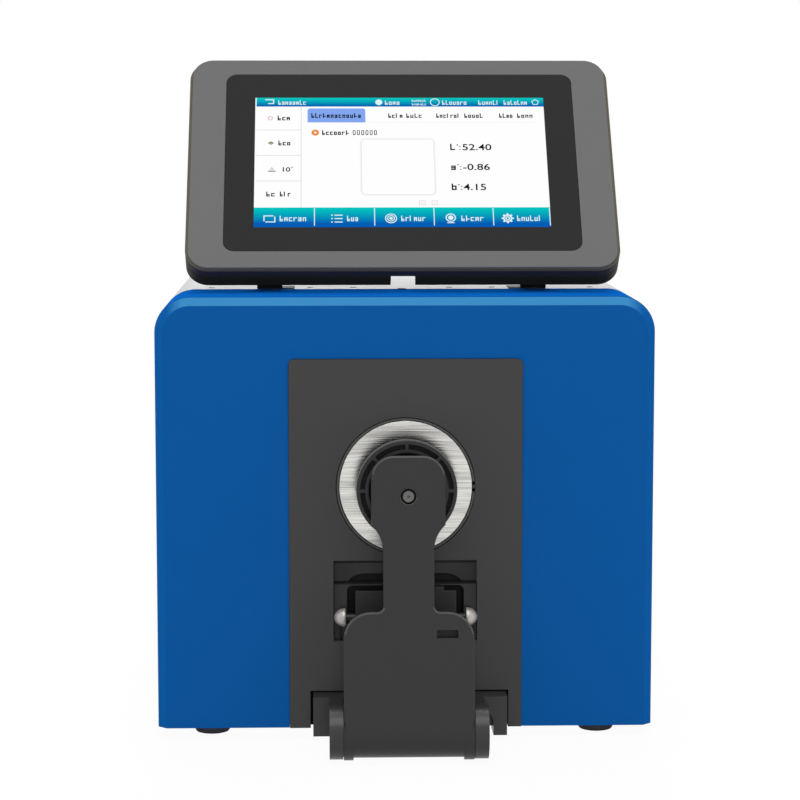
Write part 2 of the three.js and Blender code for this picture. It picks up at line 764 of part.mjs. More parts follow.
// A helix round the axle with a straight leg at each end, as one tube.
function closingSpring() {
  const mean = axle.radius + spring.clearance + spring.wireRadius;
  const half = (spring.turns * spring.pitch) / 2;
  const steps = spring.turns * facets.coil;
  const leg = new THREE.Vector3(hinge.lugInner - fit, mean, 0);
  const points = [leg.clone().setX(-leg.x)];
  for (let i = 0; i <= steps; i++) {
    const turn = (i / facets.coil) * 2 * Math.PI;
    points.push(
      new THREE.Vector3(
        (2 * i * half) / steps - half, mean * Math.cos(turn), mean * Math.sin(turn),
      ),
    );
  }
  points.push(leg);
  const path = new THREE.CatmullRomCurve3(points);
  const round = new THREE.Shape();
  round.absarc(0, 0, spring.wireRadius, 0, 2 * Math.PI);
  const geometry = new THREE.ExtrudeGeometry(round, {
    steps: steps + 2 * facets.coil, extrudePath: path, curveSegments: facets.wire,
    bevelEnabled: false,
  });
  return solidOf(geometry.translate(0, axle.y, axle.z));
}

const springGap = spring.pitch - 2 * spring.wireRadius;
console.log("least gap between the turns of the spring: " + springGap.toFixed(2) + " mm");

piece("hinge_base", hingeBase(), "blackPlate");
piece(
  "hinge_axle",
  rod("x", axle.radius, span(0, axle.length), axleAt, facets.small),
  "steel",
);
piece("closing_spring", closingSpring(), "steel");
piece(
  "base_screw",
  rod(
    "y", hinge.screwHead,
    [hinge.front + hinge.screwDepth - hinge.screwHeadDepth, hinge.front + hinge.screwDepth - fit],
    [hinge.screwX, hinge.screwZ],
  ),
  "steel",
);

// Clamp arm

const armFront = -arm.barrelRadius;
const armBack = armFront + arm.thickness;

// The two arcs along which the neck widens into the head, drawn up the right side and down the left.
function flareUp(shape, inset) {
  const radius = arm.flareRadius + inset;
  const turn = Math.acos((arm.neckHalf + arm.flareRadius - arm.headHalf + inset) / radius);
  shape.absarc(arm.neckHalf + arm.flareRadius, arm.neckTop, radius, Math.PI, Math.PI - turn, true);
}

function flareDown(shape, inset) {
  const radius = arm.flareRadius + inset;
  const turn = Math.acos((arm.neckHalf + arm.flareRadius - arm.headHalf + inset) / radius);
  shape.absarc(-arm.neckHalf - arm.flareRadius, arm.neckTop, radius, turn, 0, true);
}

// The arm seen from the front: broad foot, round shoulders, slim neck and a tapered head.
function armOutline(inset = 0) {
  const shape = new THREE.Shape();
  const half = arm.halfWidth - inset;
  const neck = arm.neckHalf - inset;
  const head = arm.headHalf - inset;
  const shoulder = arm.shoulderHeight - inset;
  const top = arm.headTop - inset;
  const round = arm.shoulderRadius - inset;
  const fillet = arm.filletRadius + inset;
  const headRound = arm.headRadius - inset;
  shape.moveTo(-half, 0);
  shape.lineTo(half, 0);
  shape.lineTo(half, shoulder - round);
  shape.absarc(half - round, shoulder - round, round, 0, Math.PI / 2);
  shape.lineTo(neck + fillet, shoulder);
  shape.absarc(neck + fillet, shoulder + fillet, fillet, 1.5 * Math.PI, Math.PI, true);
  flareUp(shape, inset);
  shape.lineTo(head, top - headRound);
  shape.absarc(head - headRound, top - headRound, headRound, 0, Math.PI / 2);
  shape.lineTo(headRound - head, top);
  shape.absarc(headRound - head, top - headRound, headRound, Math.PI / 2, Math.PI);
  flareDown(shape, inset);
  shape.lineTo(-neck, shoulder + fillet);
  shape.absarc(-neck - fillet, shoulder + fillet, fillet, 0, -Math.PI / 2, true);
  shape.lineTo(-half + round, shoulder);
  shape.absarc(-half + round, shoulder - round, round, Math.PI / 2, Math.PI);
  shape.lineTo(-half, 0);
  return shape;
}

const ballLocal = new THREE.Vector3(0, ball.y - axle.y, pad.z - axle.z).applyAxisAngle(
  new THREE.Vector3(1, 0, 0), arm.lean,
);

function ballSocket(radius) {
  return solidOf(
    new THREE.SphereGeometry(radius, facets.small, facets.small / 2)
      .translate(ballLocal.x, ballLocal.y, ballLocal.z),
  );
}

function clampArm() {
  const bevelled = {
    bevelEnabled: true, bevelThickness: arm.bevel, bevelSize: arm.bevel,
    bevelOffset: -arm.bevel, bevelSegments: 1, steps: 1, curveSegments: facets.arc,
  };
  const plateSolid = alongY(
    armOutline(), [armFront + arm.bevel, armBack - arm.bevel], bevelled,
  );
  const barrel = rod("x", arm.barrelRadius, span(0, 2 * arm.halfWidth), [0, 0], facets.round);
  const cheeks = [-1, 1].map((side) =>
    rod(
      "x", arm.cheekRadius, span(side * (arm.halfWidth - arm.cheekWidth / 2), arm.cheekWidth),
      [arm.cheekRadius - arm.barrelRadius, 0], facets.round,
    ),
  );
  const pocket = alongY(
    armPocket(arm.wall), [armFront + arm.wall, armBack + overrun],
  );
  const bore = rod("x", spring.boreRadius, span(0, 2 * arm.halfWidth + 2 * overrun), [0, 0],
    facets.small);
  const slot = block(
    span(arm.slotX, arm.slotWidth), [armFront - overrun, armFront + arm.wall + overrun],
    span(arm.slotZ, arm.slotHeight),
  );
  const screwWell = rod(
    "y", arm.screwRecess, [armFront - overrun, armFront + arm.screwDepth], [0, arm.screwZ],
  );
  return less(joined(less(plateSolid, pocket), barrel, ...cheeks), bore, slot, screwWell);
}

// The hollow at the back of the arm, from above the barrel to the head.
function armPocket(inset) {
  const shape = new THREE.Shape();
  const low = arm.barrelRadius + inset;
  const half = arm.halfWidth - inset;
  const neck = arm.neckHalf - inset;
  const head = arm.headHalf - inset;
  const shoulder = arm.shoulderHeight - inset;
  const round = arm.shoulderRadius - inset;
  const top = arm.headTop - inset;
  const headRound = arm.headRadius - inset;
  shape.moveTo(-half, low);
  shape.lineTo(half, low);
  shape.lineTo(half, shoulder - round);
  shape.absarc(half - round, shoulder - round, round, 0, Math.PI / 2);
  shape.lineTo(neck, shoulder);
  flareUp(shape, inset);
  shape.lineTo(head, top - headRound);
  shape.absarc(head - headRound, top - headRound, headRound, 0, Math.PI / 2);
  shape.lineTo(headRound - head, top);
  shape.absarc(headRound - head, top - headRound, headRound, Math.PI / 2, Math.PI);
  flareDown(shape, inset);
  shape.lineTo(-neck, shoulder);
  shape.lineTo(-half + round, shoulder);
  shape.absarc(-half + round, shoulder - round, round, Math.PI / 2, Math.PI);
  shape.lineTo(-half, low);
  return shape;
}

function armCover() {
  const cover = alongY(armPocket(arm.wall + fit), [armBack - arm.coverThickness, armBack]);
  const boss = rod(
    "y", ball.radius + arm.wall, [armFront + arm.wall + fit, armBack],
    [0, ballLocal.z], facets.small,
  );
  return less(joined(cover, boss), ballSocket(ball.radius + fit));
}

function armScrew() {
  const y = [armFront + fit, armFront + arm.screwDepth - fit];
  const head = rod("y", arm.screwRadius, y, [0, arm.screwZ]);
  const bar = (width, height) =>
    block(span(0, width), [y[0] - overrun, y[0] + arm.crossDepth], span(arm.screwZ, height));
  return less(head, bar(arm.crossWidth, arm.crossLength), bar(arm.crossLength, arm.crossWidth));
}

piece("clamp_arm", clampArm(), "blackArm", armGroup);
piece("arm_cover", armCover(), "blackPlate", armGroup);
piece("arm_screw", armScrew(), "steel", armGroup);

// Swivelling pad

function padCarrier() {
  const y = [pad.front, pad.front + pad.thickness];
  const disc = rod("y", pad.radius, y, [0, pad.z], facets.fine);
  const ring = less(
    rod("y", pad.windowOuter, [y[0] - overrun, y[0] + pad.windowDepth], [0, pad.z], facets.fine),
    rod("y", pad.windowInner, [y[0] - 2 * overrun, y[1]], [0, pad.z], facets.fine),
  );
  const spokes = [];
  for (let i = 0; i < pad.windows / 2; i++) {
    const bar = block(
      span(0, 2 * pad.radius), [y[0], y[0] + pad.windowDepth], span(0, pad.spoke),
    );
    spokes.push(bar.rotate([0, (i * 360) / pad.windows, 0]).translate([0, 0, pad.z]));
  }
  const dish = less(
    rod("y", pad.hubRadius, [y[0] - overrun, y[0] + pad.hubDepth], [0, pad.z], facets.fine),
    rod("y", pad.bossRadius, [y[0] - 2 * overrun, y[1]], [0, pad.z], facets.small),
  );
  const stemHole = rod(
    "y", ball.neckRadius + fit, [y[0] - overrun, y[0] + pad.thickness / 2], [0, pad.z],
  );
  return less(disc, less(ring, ...spokes), dish, stemHole);
}

function padCushion() {
  const start = pad.front + pad.thickness + fit;
  const end = start + pad.cushionThickness;
  const profile = [
    [pad.cushionHole, start],
    [pad.cushionRadius, start],
    [pad.cushionRadius, end - pad.cushionLip],
    [pad.cushionRadius - pad.cushionLip, end],
    [pad.cushionHole + pad.cushionLip, end],
    [pad.cushionHole, end - pad.cushionLip],
    [pad.cushionHole, start],
  ];
  return turned("y", profile, [0, 0, pad.z], facets.round);
}

function padBall() {
  const round = solidOf(
    new THREE.SphereGeometry(ball.radius, facets.small, facets.small / 2)
      .translate(0, ball.y, pad.z),
  );
  const neck = rod(
    "y", ball.neckRadius, [ball.y, pad.front + pad.thickness / 2 - fit], [0, pad.z],
  );
  return joined(round, neck);
}

piece("pad_carrier", padCarrier(), "blackArm");
piece("pad_cushion", padCushion(), "rubber");
piece("pad_ball", padBall(), "steel");

// Display

const layers = {};
layers.frame = display.panelThickness + fit;
layers.shell = layers.frame + display.frameThickness + fit;
layers.stand = layers.shell + display.shellThickness + fit;
layers.back = layers.stand + display.standThickness;

const housingOutline = () =>
  roundedBox(display.width, display.height, display.radius, 0, display.rise);

function frontPanel() {
  const opening = roundedBox(
    display.glassWidth + 2 * fit, display.glassHeight + 2 * fit, display.glassRadius + fit, 0,
    display.glassRise,
  );
  return less(
    alongY(housingOutline(), [0, display.panelThickness]),
    alongY(opening, [-overrun, display.panelThickness + overrun]),
  );
}

const pictureHole = (gap) =>
  roundedBox(
    display.pictureWidth + 2 * display.pictureFrame + 2 * gap,
    display.pictureHeight + 2 * display.pictureFrame + 2 * gap, display.pictureFrame / 2,
  );

function displayFrame() {
  const y = [layers.frame, layers.frame + display.frameThickness];
  return less(
    alongY(housingOutline(), y), alongY(pictureHole(fit), [y[0] - overrun, y[1] + overrun]),
  );
}

function displayShell() {
  const y = [layers.shell, layers.shell + display.shellThickness];
  const hollow = roundedBox(
    display.width - 2 * display.wall, display.height - 2 * display.wall,
    display.radius - display.wall, 0, display.rise,
  );
  return less(
    alongY(housingOutline(), y), alongY(hollow, [y[0] - overrun, y[1] - display.wall]),
  );
}

const pivotLocal = new THREE.Vector3(
  0, leg.pivotY - display.y, leg.pivotZ - display.z,
).applyAxisAngle(new THREE.Vector3(1, 0, 0), display.tilt);

function standPlate() {
  const y = [layers.stand, layers.back];
  const low = display.rise - display.height / 2;
  const notch = block(
    span(0, display.notchWidth), [y[0] - overrun, y[1] + overrun],
    [low - overrun, low + display.notchHeight],
  );
  const lugs = [];
  for (const side of [-1, 1]) {
    for (const edge of [-1, 1]) {
      const x = span(side * leg.x + edge * (leg.width / 2 + fit + leg.lugWidth / 2), leg.lugWidth);
      const web = block(
        x, [y[0] + fit, pivotLocal.y], span(pivotLocal.z, 2 * leg.lugRadius),
      );
      const eye = rod("x", leg.lugRadius, x, [pivotLocal.y, pivotLocal.z], facets.small);
      const bore = rod(
        "x", leg.pinRadius + fit, [x[0] - overrun, x[1] + overrun], [pivotLocal.y, pivotLocal.z],
      );
      lugs.push(less(joined(web, eye), bore));
    }
  }
  return joined(less(alongY(housingOutline(), y), notch), ...lugs);
}

piece("display_panel", frontPanel(), "displayGrey", displayGroup);
piece("display_frame", displayFrame(), "displayDark", displayGroup);
piece(
  "display_glass",
  alongY(
    roundedBox(
      display.glassWidth, display.glassHeight, display.glassRadius, 0, display.glassRise,
    ),
    [0, display.glassThickness],
  ),
  "glass", displayGroup,
);
piece(
  "display_picture",
  alongY(pictureHole(0), [layers.frame, layers.frame + display.pictureThickness]),
  "picture", displayGroup,
);
piece("display_shell", displayShell(), "displayShell", displayGroup);
piece("stand_plate", standPlate(), "displayBlack", displayGroup);

function displayLeg(side) {
  const low = bodyTop + fit / 2;
  const middle = side * leg.x;
  const back = leg.front + leg.thickness;
  const upright = block(span(middle, leg.width), [leg.front, back], [low, leg.pivotZ]);
  const eye = rod(
    "x", leg.knuckleRadius, span(middle, leg.width), [leg.pivotY, leg.pivotZ], facets.small,
  );
  const inner = middle - side * (leg.width / 2 + leg.flangeWidth);
  const x = [inner, middle].sort((a, b) => a - b);
  const flange = block(
    x, [leg.front, leg.front + leg.flangeDepth], [low, low + leg.flangeThickness],
  );
  const bore = rod(
    "x", leg.pinRadius + fit, span(middle, leg.width + 2 * overrun), [leg.pivotY, leg.pivotZ],
  );
  return less(joined(upright, eye, flange), bore);
}

for (const [name, side] of [["left", -1], ["right", 1]]) {
  piece("display_leg_" + name, displayLeg(side), "displayBlack");
  const length = leg.width + 2 * (fit + leg.lugWidth);
  piece(
    "display_pin_" + name,
    rod("x", leg.pinRadius, span(side * leg.x, length), [leg.pivotY, leg.pivotZ]),
    "steel",
  );
}

// Integrating sphere, its cradle, lamp and spectrometer

function sphereBall(radius) {
  const round = new THREE.SphereGeometry(radius, facets.sphere, facets.rings);
  return solidOf(round.translate(0, sphere.y, port.height));
}

function sphereShell(front) {
  const outer = sphereBall(sphere.radius);
  const inner = sphereBall(sphere.radius - sphere.wall);
  const reach = sphere.radius + sphere.flange;
  const rim = rod(
    "y", reach,
    front
      ? [sphere.y - sphere.flangeThickness, sphere.y - fit / 2]
      : [sphere.y + fit / 2, sphere.y + sphere.flangeThickness],
    [0, port.height], facets.round,
  );
  const away = front
    ? [sphere.y - fit / 2, sphere.y + 2 * reach]
    : [sphere.y - 2 * reach, sphere.y + fit / 2];
  const cutAway = block([-2 * reach, 2 * reach], away, [-2 * reach, 4 * reach]);
  if (front) {
    const nose = bulkhead.front + bulkhead.thickness + fit;
    const collar = rod(
      "y", sphere.collarRadius, [nose, sphere.y - sphere.radius * sphere.collarShare],
      [0, port.height], facets.round,
    );
    const tip = block([-2 * reach, 2 * reach], [-reach, nose], [-2 * reach, 4 * reach]);
    const bore = rod(
      "y", sphere.collarBore, [nose - overrun, sphere.y - sphere.radius / 2], [0, port.height],
      facets.round,
    );
    return less(joined(outer, rim, collar), inner, cutAway, tip, bore);
  }
  const lampHole = rod(
    "y", sphere.lampPort, [sphere.y, sphere.y + 2 * sphere.radius], [0, lampAxis], facets.small,
  );
  const lensHole = rod(
    "y", sphere.lensPort, [sphere.y, sphere.y + 2 * sphere.radius], [0, lensAxis], facets.small,
  );
  return less(joined(outer, rim), inner, cutAway, lampHole, lensHole);
}

function sphereCradle() {
  const start = sphere.y + sphere.flangeThickness + fit;
  const y = [start, start + cradle.depth];
  const low = bodyBottom + base.thickness + fit;
  const wall = block(span(0, cradle.width), y, [low, port.height - cradle.lip]);
  const saddle = sphereBall(sphere.radius + cradle.saddleGap);
  const arch = block(
    span(0, cradle.width * cradle.archShare), [y[0] - overrun, y[1] + overrun],
    [low - overrun, low + cradle.lip],
  );
  return less(wall, saddle, arch);
}

function edgedBox([x0, x1], [y0, y1], [z0, z1], edge) {
  const [mx, mz] = [(x0 + x1) / 2, (z0 + z1) / 2];
  return alongY(roundedBox(x1 - x0, z1 - z0, edge, mx, mz), [y0, y1]);
}

function lampModule() {
  const y = span(lamp.y + lamp.depth / 2, lamp.depth);
  const house = edgedBox(span(0, lamp.width), y, [lamp.z, lamp.z + lamp.height], lamp.edge);
  const inside = sphere.y + sphere.radius * sphere.lampShare;
  const tube = rod("y", lamp.tubeRadius, [inside, y[0] + overrun], [0, lampAxis]);
  const keepOut = sphereBall(sphere.radius - sphere.wall / 2);
  const postHalf = lamp.width / 2 - lamp.edge;
  const post = joined(
    ...[-1, 1].map((side) =>
      block(
        span(side * postHalf, 2 * lamp.edge), [y[1] - 2 * lamp.edge, y[1]],
        [spectrometer.top + fit, lamp.z + lamp.edge],
      ),
    ),
  );
  return joined(less(joined(house, tube), keepOut), post);
}

function spectrometerModule() {
  const y = [spectrometer.start, spectrometer.start + spectrometer.depth];
  const house = edgedBox(
    span(0, spectrometer.width), y, [spectrometer.z, spectrometer.top], spectrometer.edge,
  );
  const feet = [-1, 1].map((side) =>
    block(
      span(side * (spectrometer.width / 2 - 2 * spectrometer.edge), 2 * spectrometer.edge), y,
      [bodyBottom + base.thickness + fit, spectrometer.z + spectrometer.edge],
    ),
  );
  const front = [y[0], y[0] + 2 * spectrometer.edge];
  const lens = rod(
    "y", spectrometer.snout, [sphere.y + sphere.radius * sphere.lensShare, front[1]],
    [0, lensAxis],
  );
  const riser = block(
    span(0, 2 * spectrometer.snout), front, [spectrometer.top - overrun, lensAxis],
  );
  const keepOut = sphereBall(sphere.radius - sphere.wall / 2);
  return joined(house, ...feet, less(joined(lens, riser), keepOut));
}

function mainBoard() {
  const x = [board.x - board.width / 2, board.x - board.width / 2 + board.width / 3];
  const sheet = block(x, span(board.y, board.depth), [board.z, board.z + board.height]);
  const chips = [-1, 1].map((side) =>
    block(
      [x[1] - weld, x[1] + board.chipDepth],
      span(board.y + (side * board.depth) / 4, board.chip),
      span(board.z + board.height / 2, board.chip),
    ),
  );
  const wallX = fit - innerHalf;
  const spacing = standoff.spacingShare * board.depth;
  const rise = standoff.riseShare * board.height;
  const posts = [-1, 1].flatMap((side) =>
    [-1, 1].map((end) =>
      rod(
        "x", standoff.radius, [wallX, x[0] + weld],
        [board.y + (side * spacing) / 2, board.z + (board.height + end * rise) / 2],
      ),
    ),
  );
  return joined(sheet, ...chips, ...posts);
}

function powerSupply() {
  return edgedBox(
    span(supply.x, supply.width), span(supply.y, supply.depth),
    [bodyBottom + base.thickness + fit, bodyBottom + base.thickness + fit + supply.height],
    supply.edge,
  );
}

piece("sphere_front_half", sphereShell(true), "white");
piece("sphere_rear_half", sphereShell(false), "white");
piece("sphere_cradle", sphereCradle(), "sheet");
piece("lamp_module", lampModule(), "sheet");
piece("spectrometer_module", spectrometerModule(), "blackPlate");
piece("main_board", mainBoard(), "board");
piece("power_supply", powerSupply(), "sheet");

// Rear connectors, each held in its own cut-out of the back panel

const panelFace = backFace - backPanel.inset;

function powerInlet() {
  const flange = alongY(
    roundedBox(
      inlet.width + 2 * inlet.flange, inlet.height + 2 * inlet.flange, inlet.flange, inlet.x,
      inlet.z,
    ),
    [panelFace + fit, panelFace + fit + inlet.flangeThickness],
  );
  const front = panelFace + fit + inlet.flangeThickness;
  const core = block(
    span(inlet.x, inlet.width), [front - inlet.depth, front - inlet.flangeThickness / 2],
    span(inlet.z, inlet.height),
  );
  const cavity = alongY(
    inletMouth(), [front - inlet.cavityDepth, front + overrun],
  );
  const floor = front - inlet.cavityDepth;
  const pins = [-1, 0, 1].map((place) =>
    block(
      span(inlet.x + place * inlet.pinSpacing, inlet.pinWidth),
      [floor - weld, floor + inlet.pinLength],
      span(inlet.z + (place === 0 ? inlet.earthDrop : -inlet.earthDrop) / 2, inlet.pinHeight),
    ),
  );
  return joined(less(joined(flange, core), cavity), ...pins);
}

// Three-pin inlet mouth with its two upper corners cut off.
function inletMouth() {
  const shape = new THREE.Shape();
  const [left, right] = span(inlet.x, inlet.cavityWidth);
  const [low, high] = span(inlet.z, inlet.cavityHeight);
  shape.moveTo(left, low);
  shape.lineTo(right, low);
  shape.lineTo(right, high - inlet.corner);
  shape.lineTo(right - inlet.corner, high);
  shape.lineTo(left + inlet.corner, high);
  shape.lineTo(left, high - inlet.corner);
  return shape;
}

const rockerFace = panelFace + fit + rocker.frameThickness;

function switchFrame() {
  const flange = alongY(
    roundedBox(
      rocker.width + 2 * rocker.frameFlange, rocker.height + 2 * rocker.frameFlange,
      rocker.frameFlange / 2, rocker.x, rocker.z,
    ),
    [panelFace + fit, rockerFace],
  );
  const bottom = rockerFace - rocker.depth;
  const core = block(
    span(rocker.x, rocker.width), [bottom, rockerFace - rocker.frameThickness / 2],
    span(rocker.z, rocker.height),
  );
  const well = block(
    span(rocker.x, rocker.capWidth + 2 * fit),
    [bottom + rocker.frameThickness, rockerFace + overrun],
    span(rocker.z, rocker.capHeight + 2 * fit),
  );
  const pivot = rod(
    "z", rocker.pinRadius + fit / 2, span(rocker.z, rocker.height - fit),
    [rocker.x, rockerFace - rocker.pivotDepth],
  );
  return less(joined(flange, core), well, pivot);
}

// A rocker with two flats that meet in a shallow valley over the pivot.
function rockerCap() {
  const shape = new THREE.Shape();
  const half = rocker.capWidth / 2 - fit;
  const face = rockerFace + rocker.capRise;
  const valley = face - half * Math.tan(rocker.bend);
  const low = rockerFace - rocker.capDepth;
  shape.moveTo(rocker.x - half + rocker.capDepth / 2, low);
  shape.lineTo(rocker.x + half - rocker.capDepth / 2, low);
  shape.lineTo(rocker.x + half, rockerFace - rocker.pivotDepth);
  shape.lineTo(rocker.x + half, face);
  shape.lineTo(rocker.x, valley);
  shape.lineTo(rocker.x - half, face);
  shape.lineTo(rocker.x - half, rockerFace - rocker.pivotDepth);
  const geometry = new THREE.ExtrudeGeometry(shape, { ...straight, depth: rocker.capHeight });
  const [bottom] = span(rocker.z, rocker.capHeight);
  const middle = rockerFace - rocker.pivotDepth;
  const pins = rod(
    "z", rocker.pinRadius, span(rocker.z, rocker.capHeight + 2 * rocker.pinLength),
    [rocker.x, middle],
  );
  return joined(solidOf(geometry.translate(0, 0, bottom)), pins)
    .translate([-rocker.x, -middle, 0])
    .rotate([0, 0, THREE.MathUtils.radToDeg(rocker.bend)])
    .translate([rocker.x, middle, 0]);
}

function usbPort(x, width, height) {
  const y = [panelFace + usb.proud - usb.depth, panelFace + usb.proud];
  const can = block(span(x, width), y, span(usb.z, height));
  const mouth = block(
    span(x, width - 2 * usb.wall), [y[0] + 2 * usb.wall, y[1] + overrun],
    span(usb.z, height - 2 * usb.wall),
  );
  const tongue = block(
    span(x, width * usb.tongueWidthShare), [y[0] + usb.wall, y[1] - 2 * usb.wall],
    span(usb.z, height * usb.tongueShare),
  );
  return joined(less(can, mouth), tongue);
}

function serialOutline(grow) {
  const shape = new THREE.Shape();
  const half = serial.width / 2 + grow;
  const [low, high] = span(serial.z, serial.height + 2 * grow);
  const slope = serial.width * serial.slopeShare;
  shape.moveTo(serial.x - half + slope, low);
  shape.lineTo(serial.x + half - slope, low);
  shape.lineTo(serial.x + half, high);
  shape.lineTo(serial.x - half, high);
  return shape;
}

function serialPort() {
  const face = panelFace + fit + serial.flangeThickness;
  const flange = alongY(
    roundedBox(serial.flangeWidth, serial.flangeHeight, serial.corner, serial.x, serial.z),
    [panelFace + fit, face],
  );
  const can = alongY(
    serialOutline(serial.wall / 2), [panelFace - serial.depth, face + serial.proud],
  );
  const mouth = alongY(
    serialOutline(-serial.wall / 2),
    [panelFace - serial.depth / 2, face + serial.proud + overrun],
  );
  const nuts = [-1, 1].map((side) =>
    rod(
      "y", serial.nutRadius, [panelFace - serial.flangeThickness, face + serial.nutProud],
      [serial.x + side * serial.nutX, serial.z], facets.nut,
    ),
  );
  return less(joined(flange, can, ...nuts), mouth);
}

piece("power_inlet", powerInlet(), "displayBlack");
piece("switch_frame", switchFrame(), "displayBlack");
piece("power_rocker", rockerCap(), "displayBlack");
piece("usb_host_port", usbPort(usb.hostX, usb.hostWidth, usb.hostHeight), "steel");
piece("usb_device_port", usbPort(usb.deviceX, usb.deviceWidth, usb.deviceHeight), "steel");
piece("serial_port", serialPort(), "steel");

// The origin lies under the middle of the footprint, on the plane of the feet.
whole.updateMatrixWorld(true);
const extent = new THREE.Box3().setFromObject(whole, true);
const group = new THREE.Group();
whole.position.set(0, -(extent.min.y + extent.max.y) / 2, -extent.min.z);
group.add(whole);
console.log(
  "size " + extent.getSize(new THREE.Vector3()).toArray().map((v) => v.toFixed(2)).join(" x ") +
    ", shift " + whole.position.toArray().map((v) => v.toFixed(3)).join(" "),
);

export default group;
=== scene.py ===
"""Benchtop sphere spectrophotometer: finishes, fine detail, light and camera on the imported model."""

import logging
import math
import random
from dataclasses import dataclass, field
from enum import Enum
from functools import lru_cache
from typing import Callable, Iterable, Optional, Sequence, Union

import bmesh
import bpy
from mathutils import Matrix, Vector


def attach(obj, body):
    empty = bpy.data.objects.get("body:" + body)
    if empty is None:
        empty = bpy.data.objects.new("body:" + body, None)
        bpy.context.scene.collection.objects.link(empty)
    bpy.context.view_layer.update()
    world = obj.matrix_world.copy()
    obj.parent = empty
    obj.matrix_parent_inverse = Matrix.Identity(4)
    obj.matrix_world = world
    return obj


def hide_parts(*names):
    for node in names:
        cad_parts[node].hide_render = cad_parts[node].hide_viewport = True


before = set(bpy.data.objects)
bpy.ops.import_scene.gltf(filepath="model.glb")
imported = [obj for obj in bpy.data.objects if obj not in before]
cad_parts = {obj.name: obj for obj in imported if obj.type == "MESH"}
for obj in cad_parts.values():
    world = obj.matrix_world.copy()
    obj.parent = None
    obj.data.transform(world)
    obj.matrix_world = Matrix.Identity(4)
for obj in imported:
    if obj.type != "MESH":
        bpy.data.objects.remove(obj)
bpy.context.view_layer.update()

log = logging.getLogger("spectrophotometer")

Form = bmesh.types.BMesh
Edge = bmesh.types.BMEdge
Face = bpy.types.MeshPolygon
Span = tuple[float, float]
Colour = tuple[float, float, float]
Number = Union[float, "Wire"]
Inputs = Union[dict[Union[int, str], object], Sequence[object]]

# Forms are written in millimetres, with the front face of the blue shell at y = 0
MM = 0.001
SHIFT = 141.7  # from that face to the origin of the row frame
ROW = Matrix.Translation((0.0, -SHIFT * MM, 0.0)) @ Matrix.Scale(MM, 4)

PAST = 9.0  # how far a cutter runs past what it cuts
WELD = 1e-4  # points nearer than this become one point
CREASE = 35.0  # edges sharper than this many degrees look sharp
FACING = 0.9  # a face looks along an axis when its normal passes this there
CASING_TOP = 225.0
CASING_BOTTOM = 5.5
PICTURE: Span = (154.08, 85.92)
WHITE = (1.0, 1.0, 1.0, 1.0)
BLACK = (0.0, 0.0, 0.0, 1.0)


class Axis(Enum):
    """The axis that a turned or brushed form follows."""

    X = 0
    Y = 1
    Z = 2


class Body(Enum):
    """The moving bodies of the instrument."""

    CASING = "casing"
    ARM = "arm"
    PAD = "pad"
    DISPLAY = "display"
    ROCKER = "rocker"


# Finishes


def linear(colour: Colour) -> tuple[float, float, float, float]:
    """The linear colour and an alpha of 1 for a colour written in 0 to 255 steps."""
    parts = [c / 255 for c in colour]
    made = [p / 12.92 if p <= 0.04045 else ((p + 0.055) / 1.055) ** 2.4 for p in parts]
    return (made[0], made[1], made[2], 1.0)


class Wire:
    """A shader value that Python's operators work on."""

    def __init__(self, graph: "Graph", socket: bpy.types.NodeSocket) -> None:
        """Wraps one output socket of a graph."""
        self.graph = graph
        self.socket = socket

    def math(self, operation: str, other: Number) -> "Wire":
        """One Math node on this value and another."""
        return self.graph.wire("ShaderNodeMath", [self, other], operation=operation)

    def __add__(self, other: Number) -> "Wire":
        """Sum."""
        return self.math("ADD", other)

    def __mul__(self, other: Number) -> "Wire":
        """Product."""
        return self.math("MULTIPLY", other)


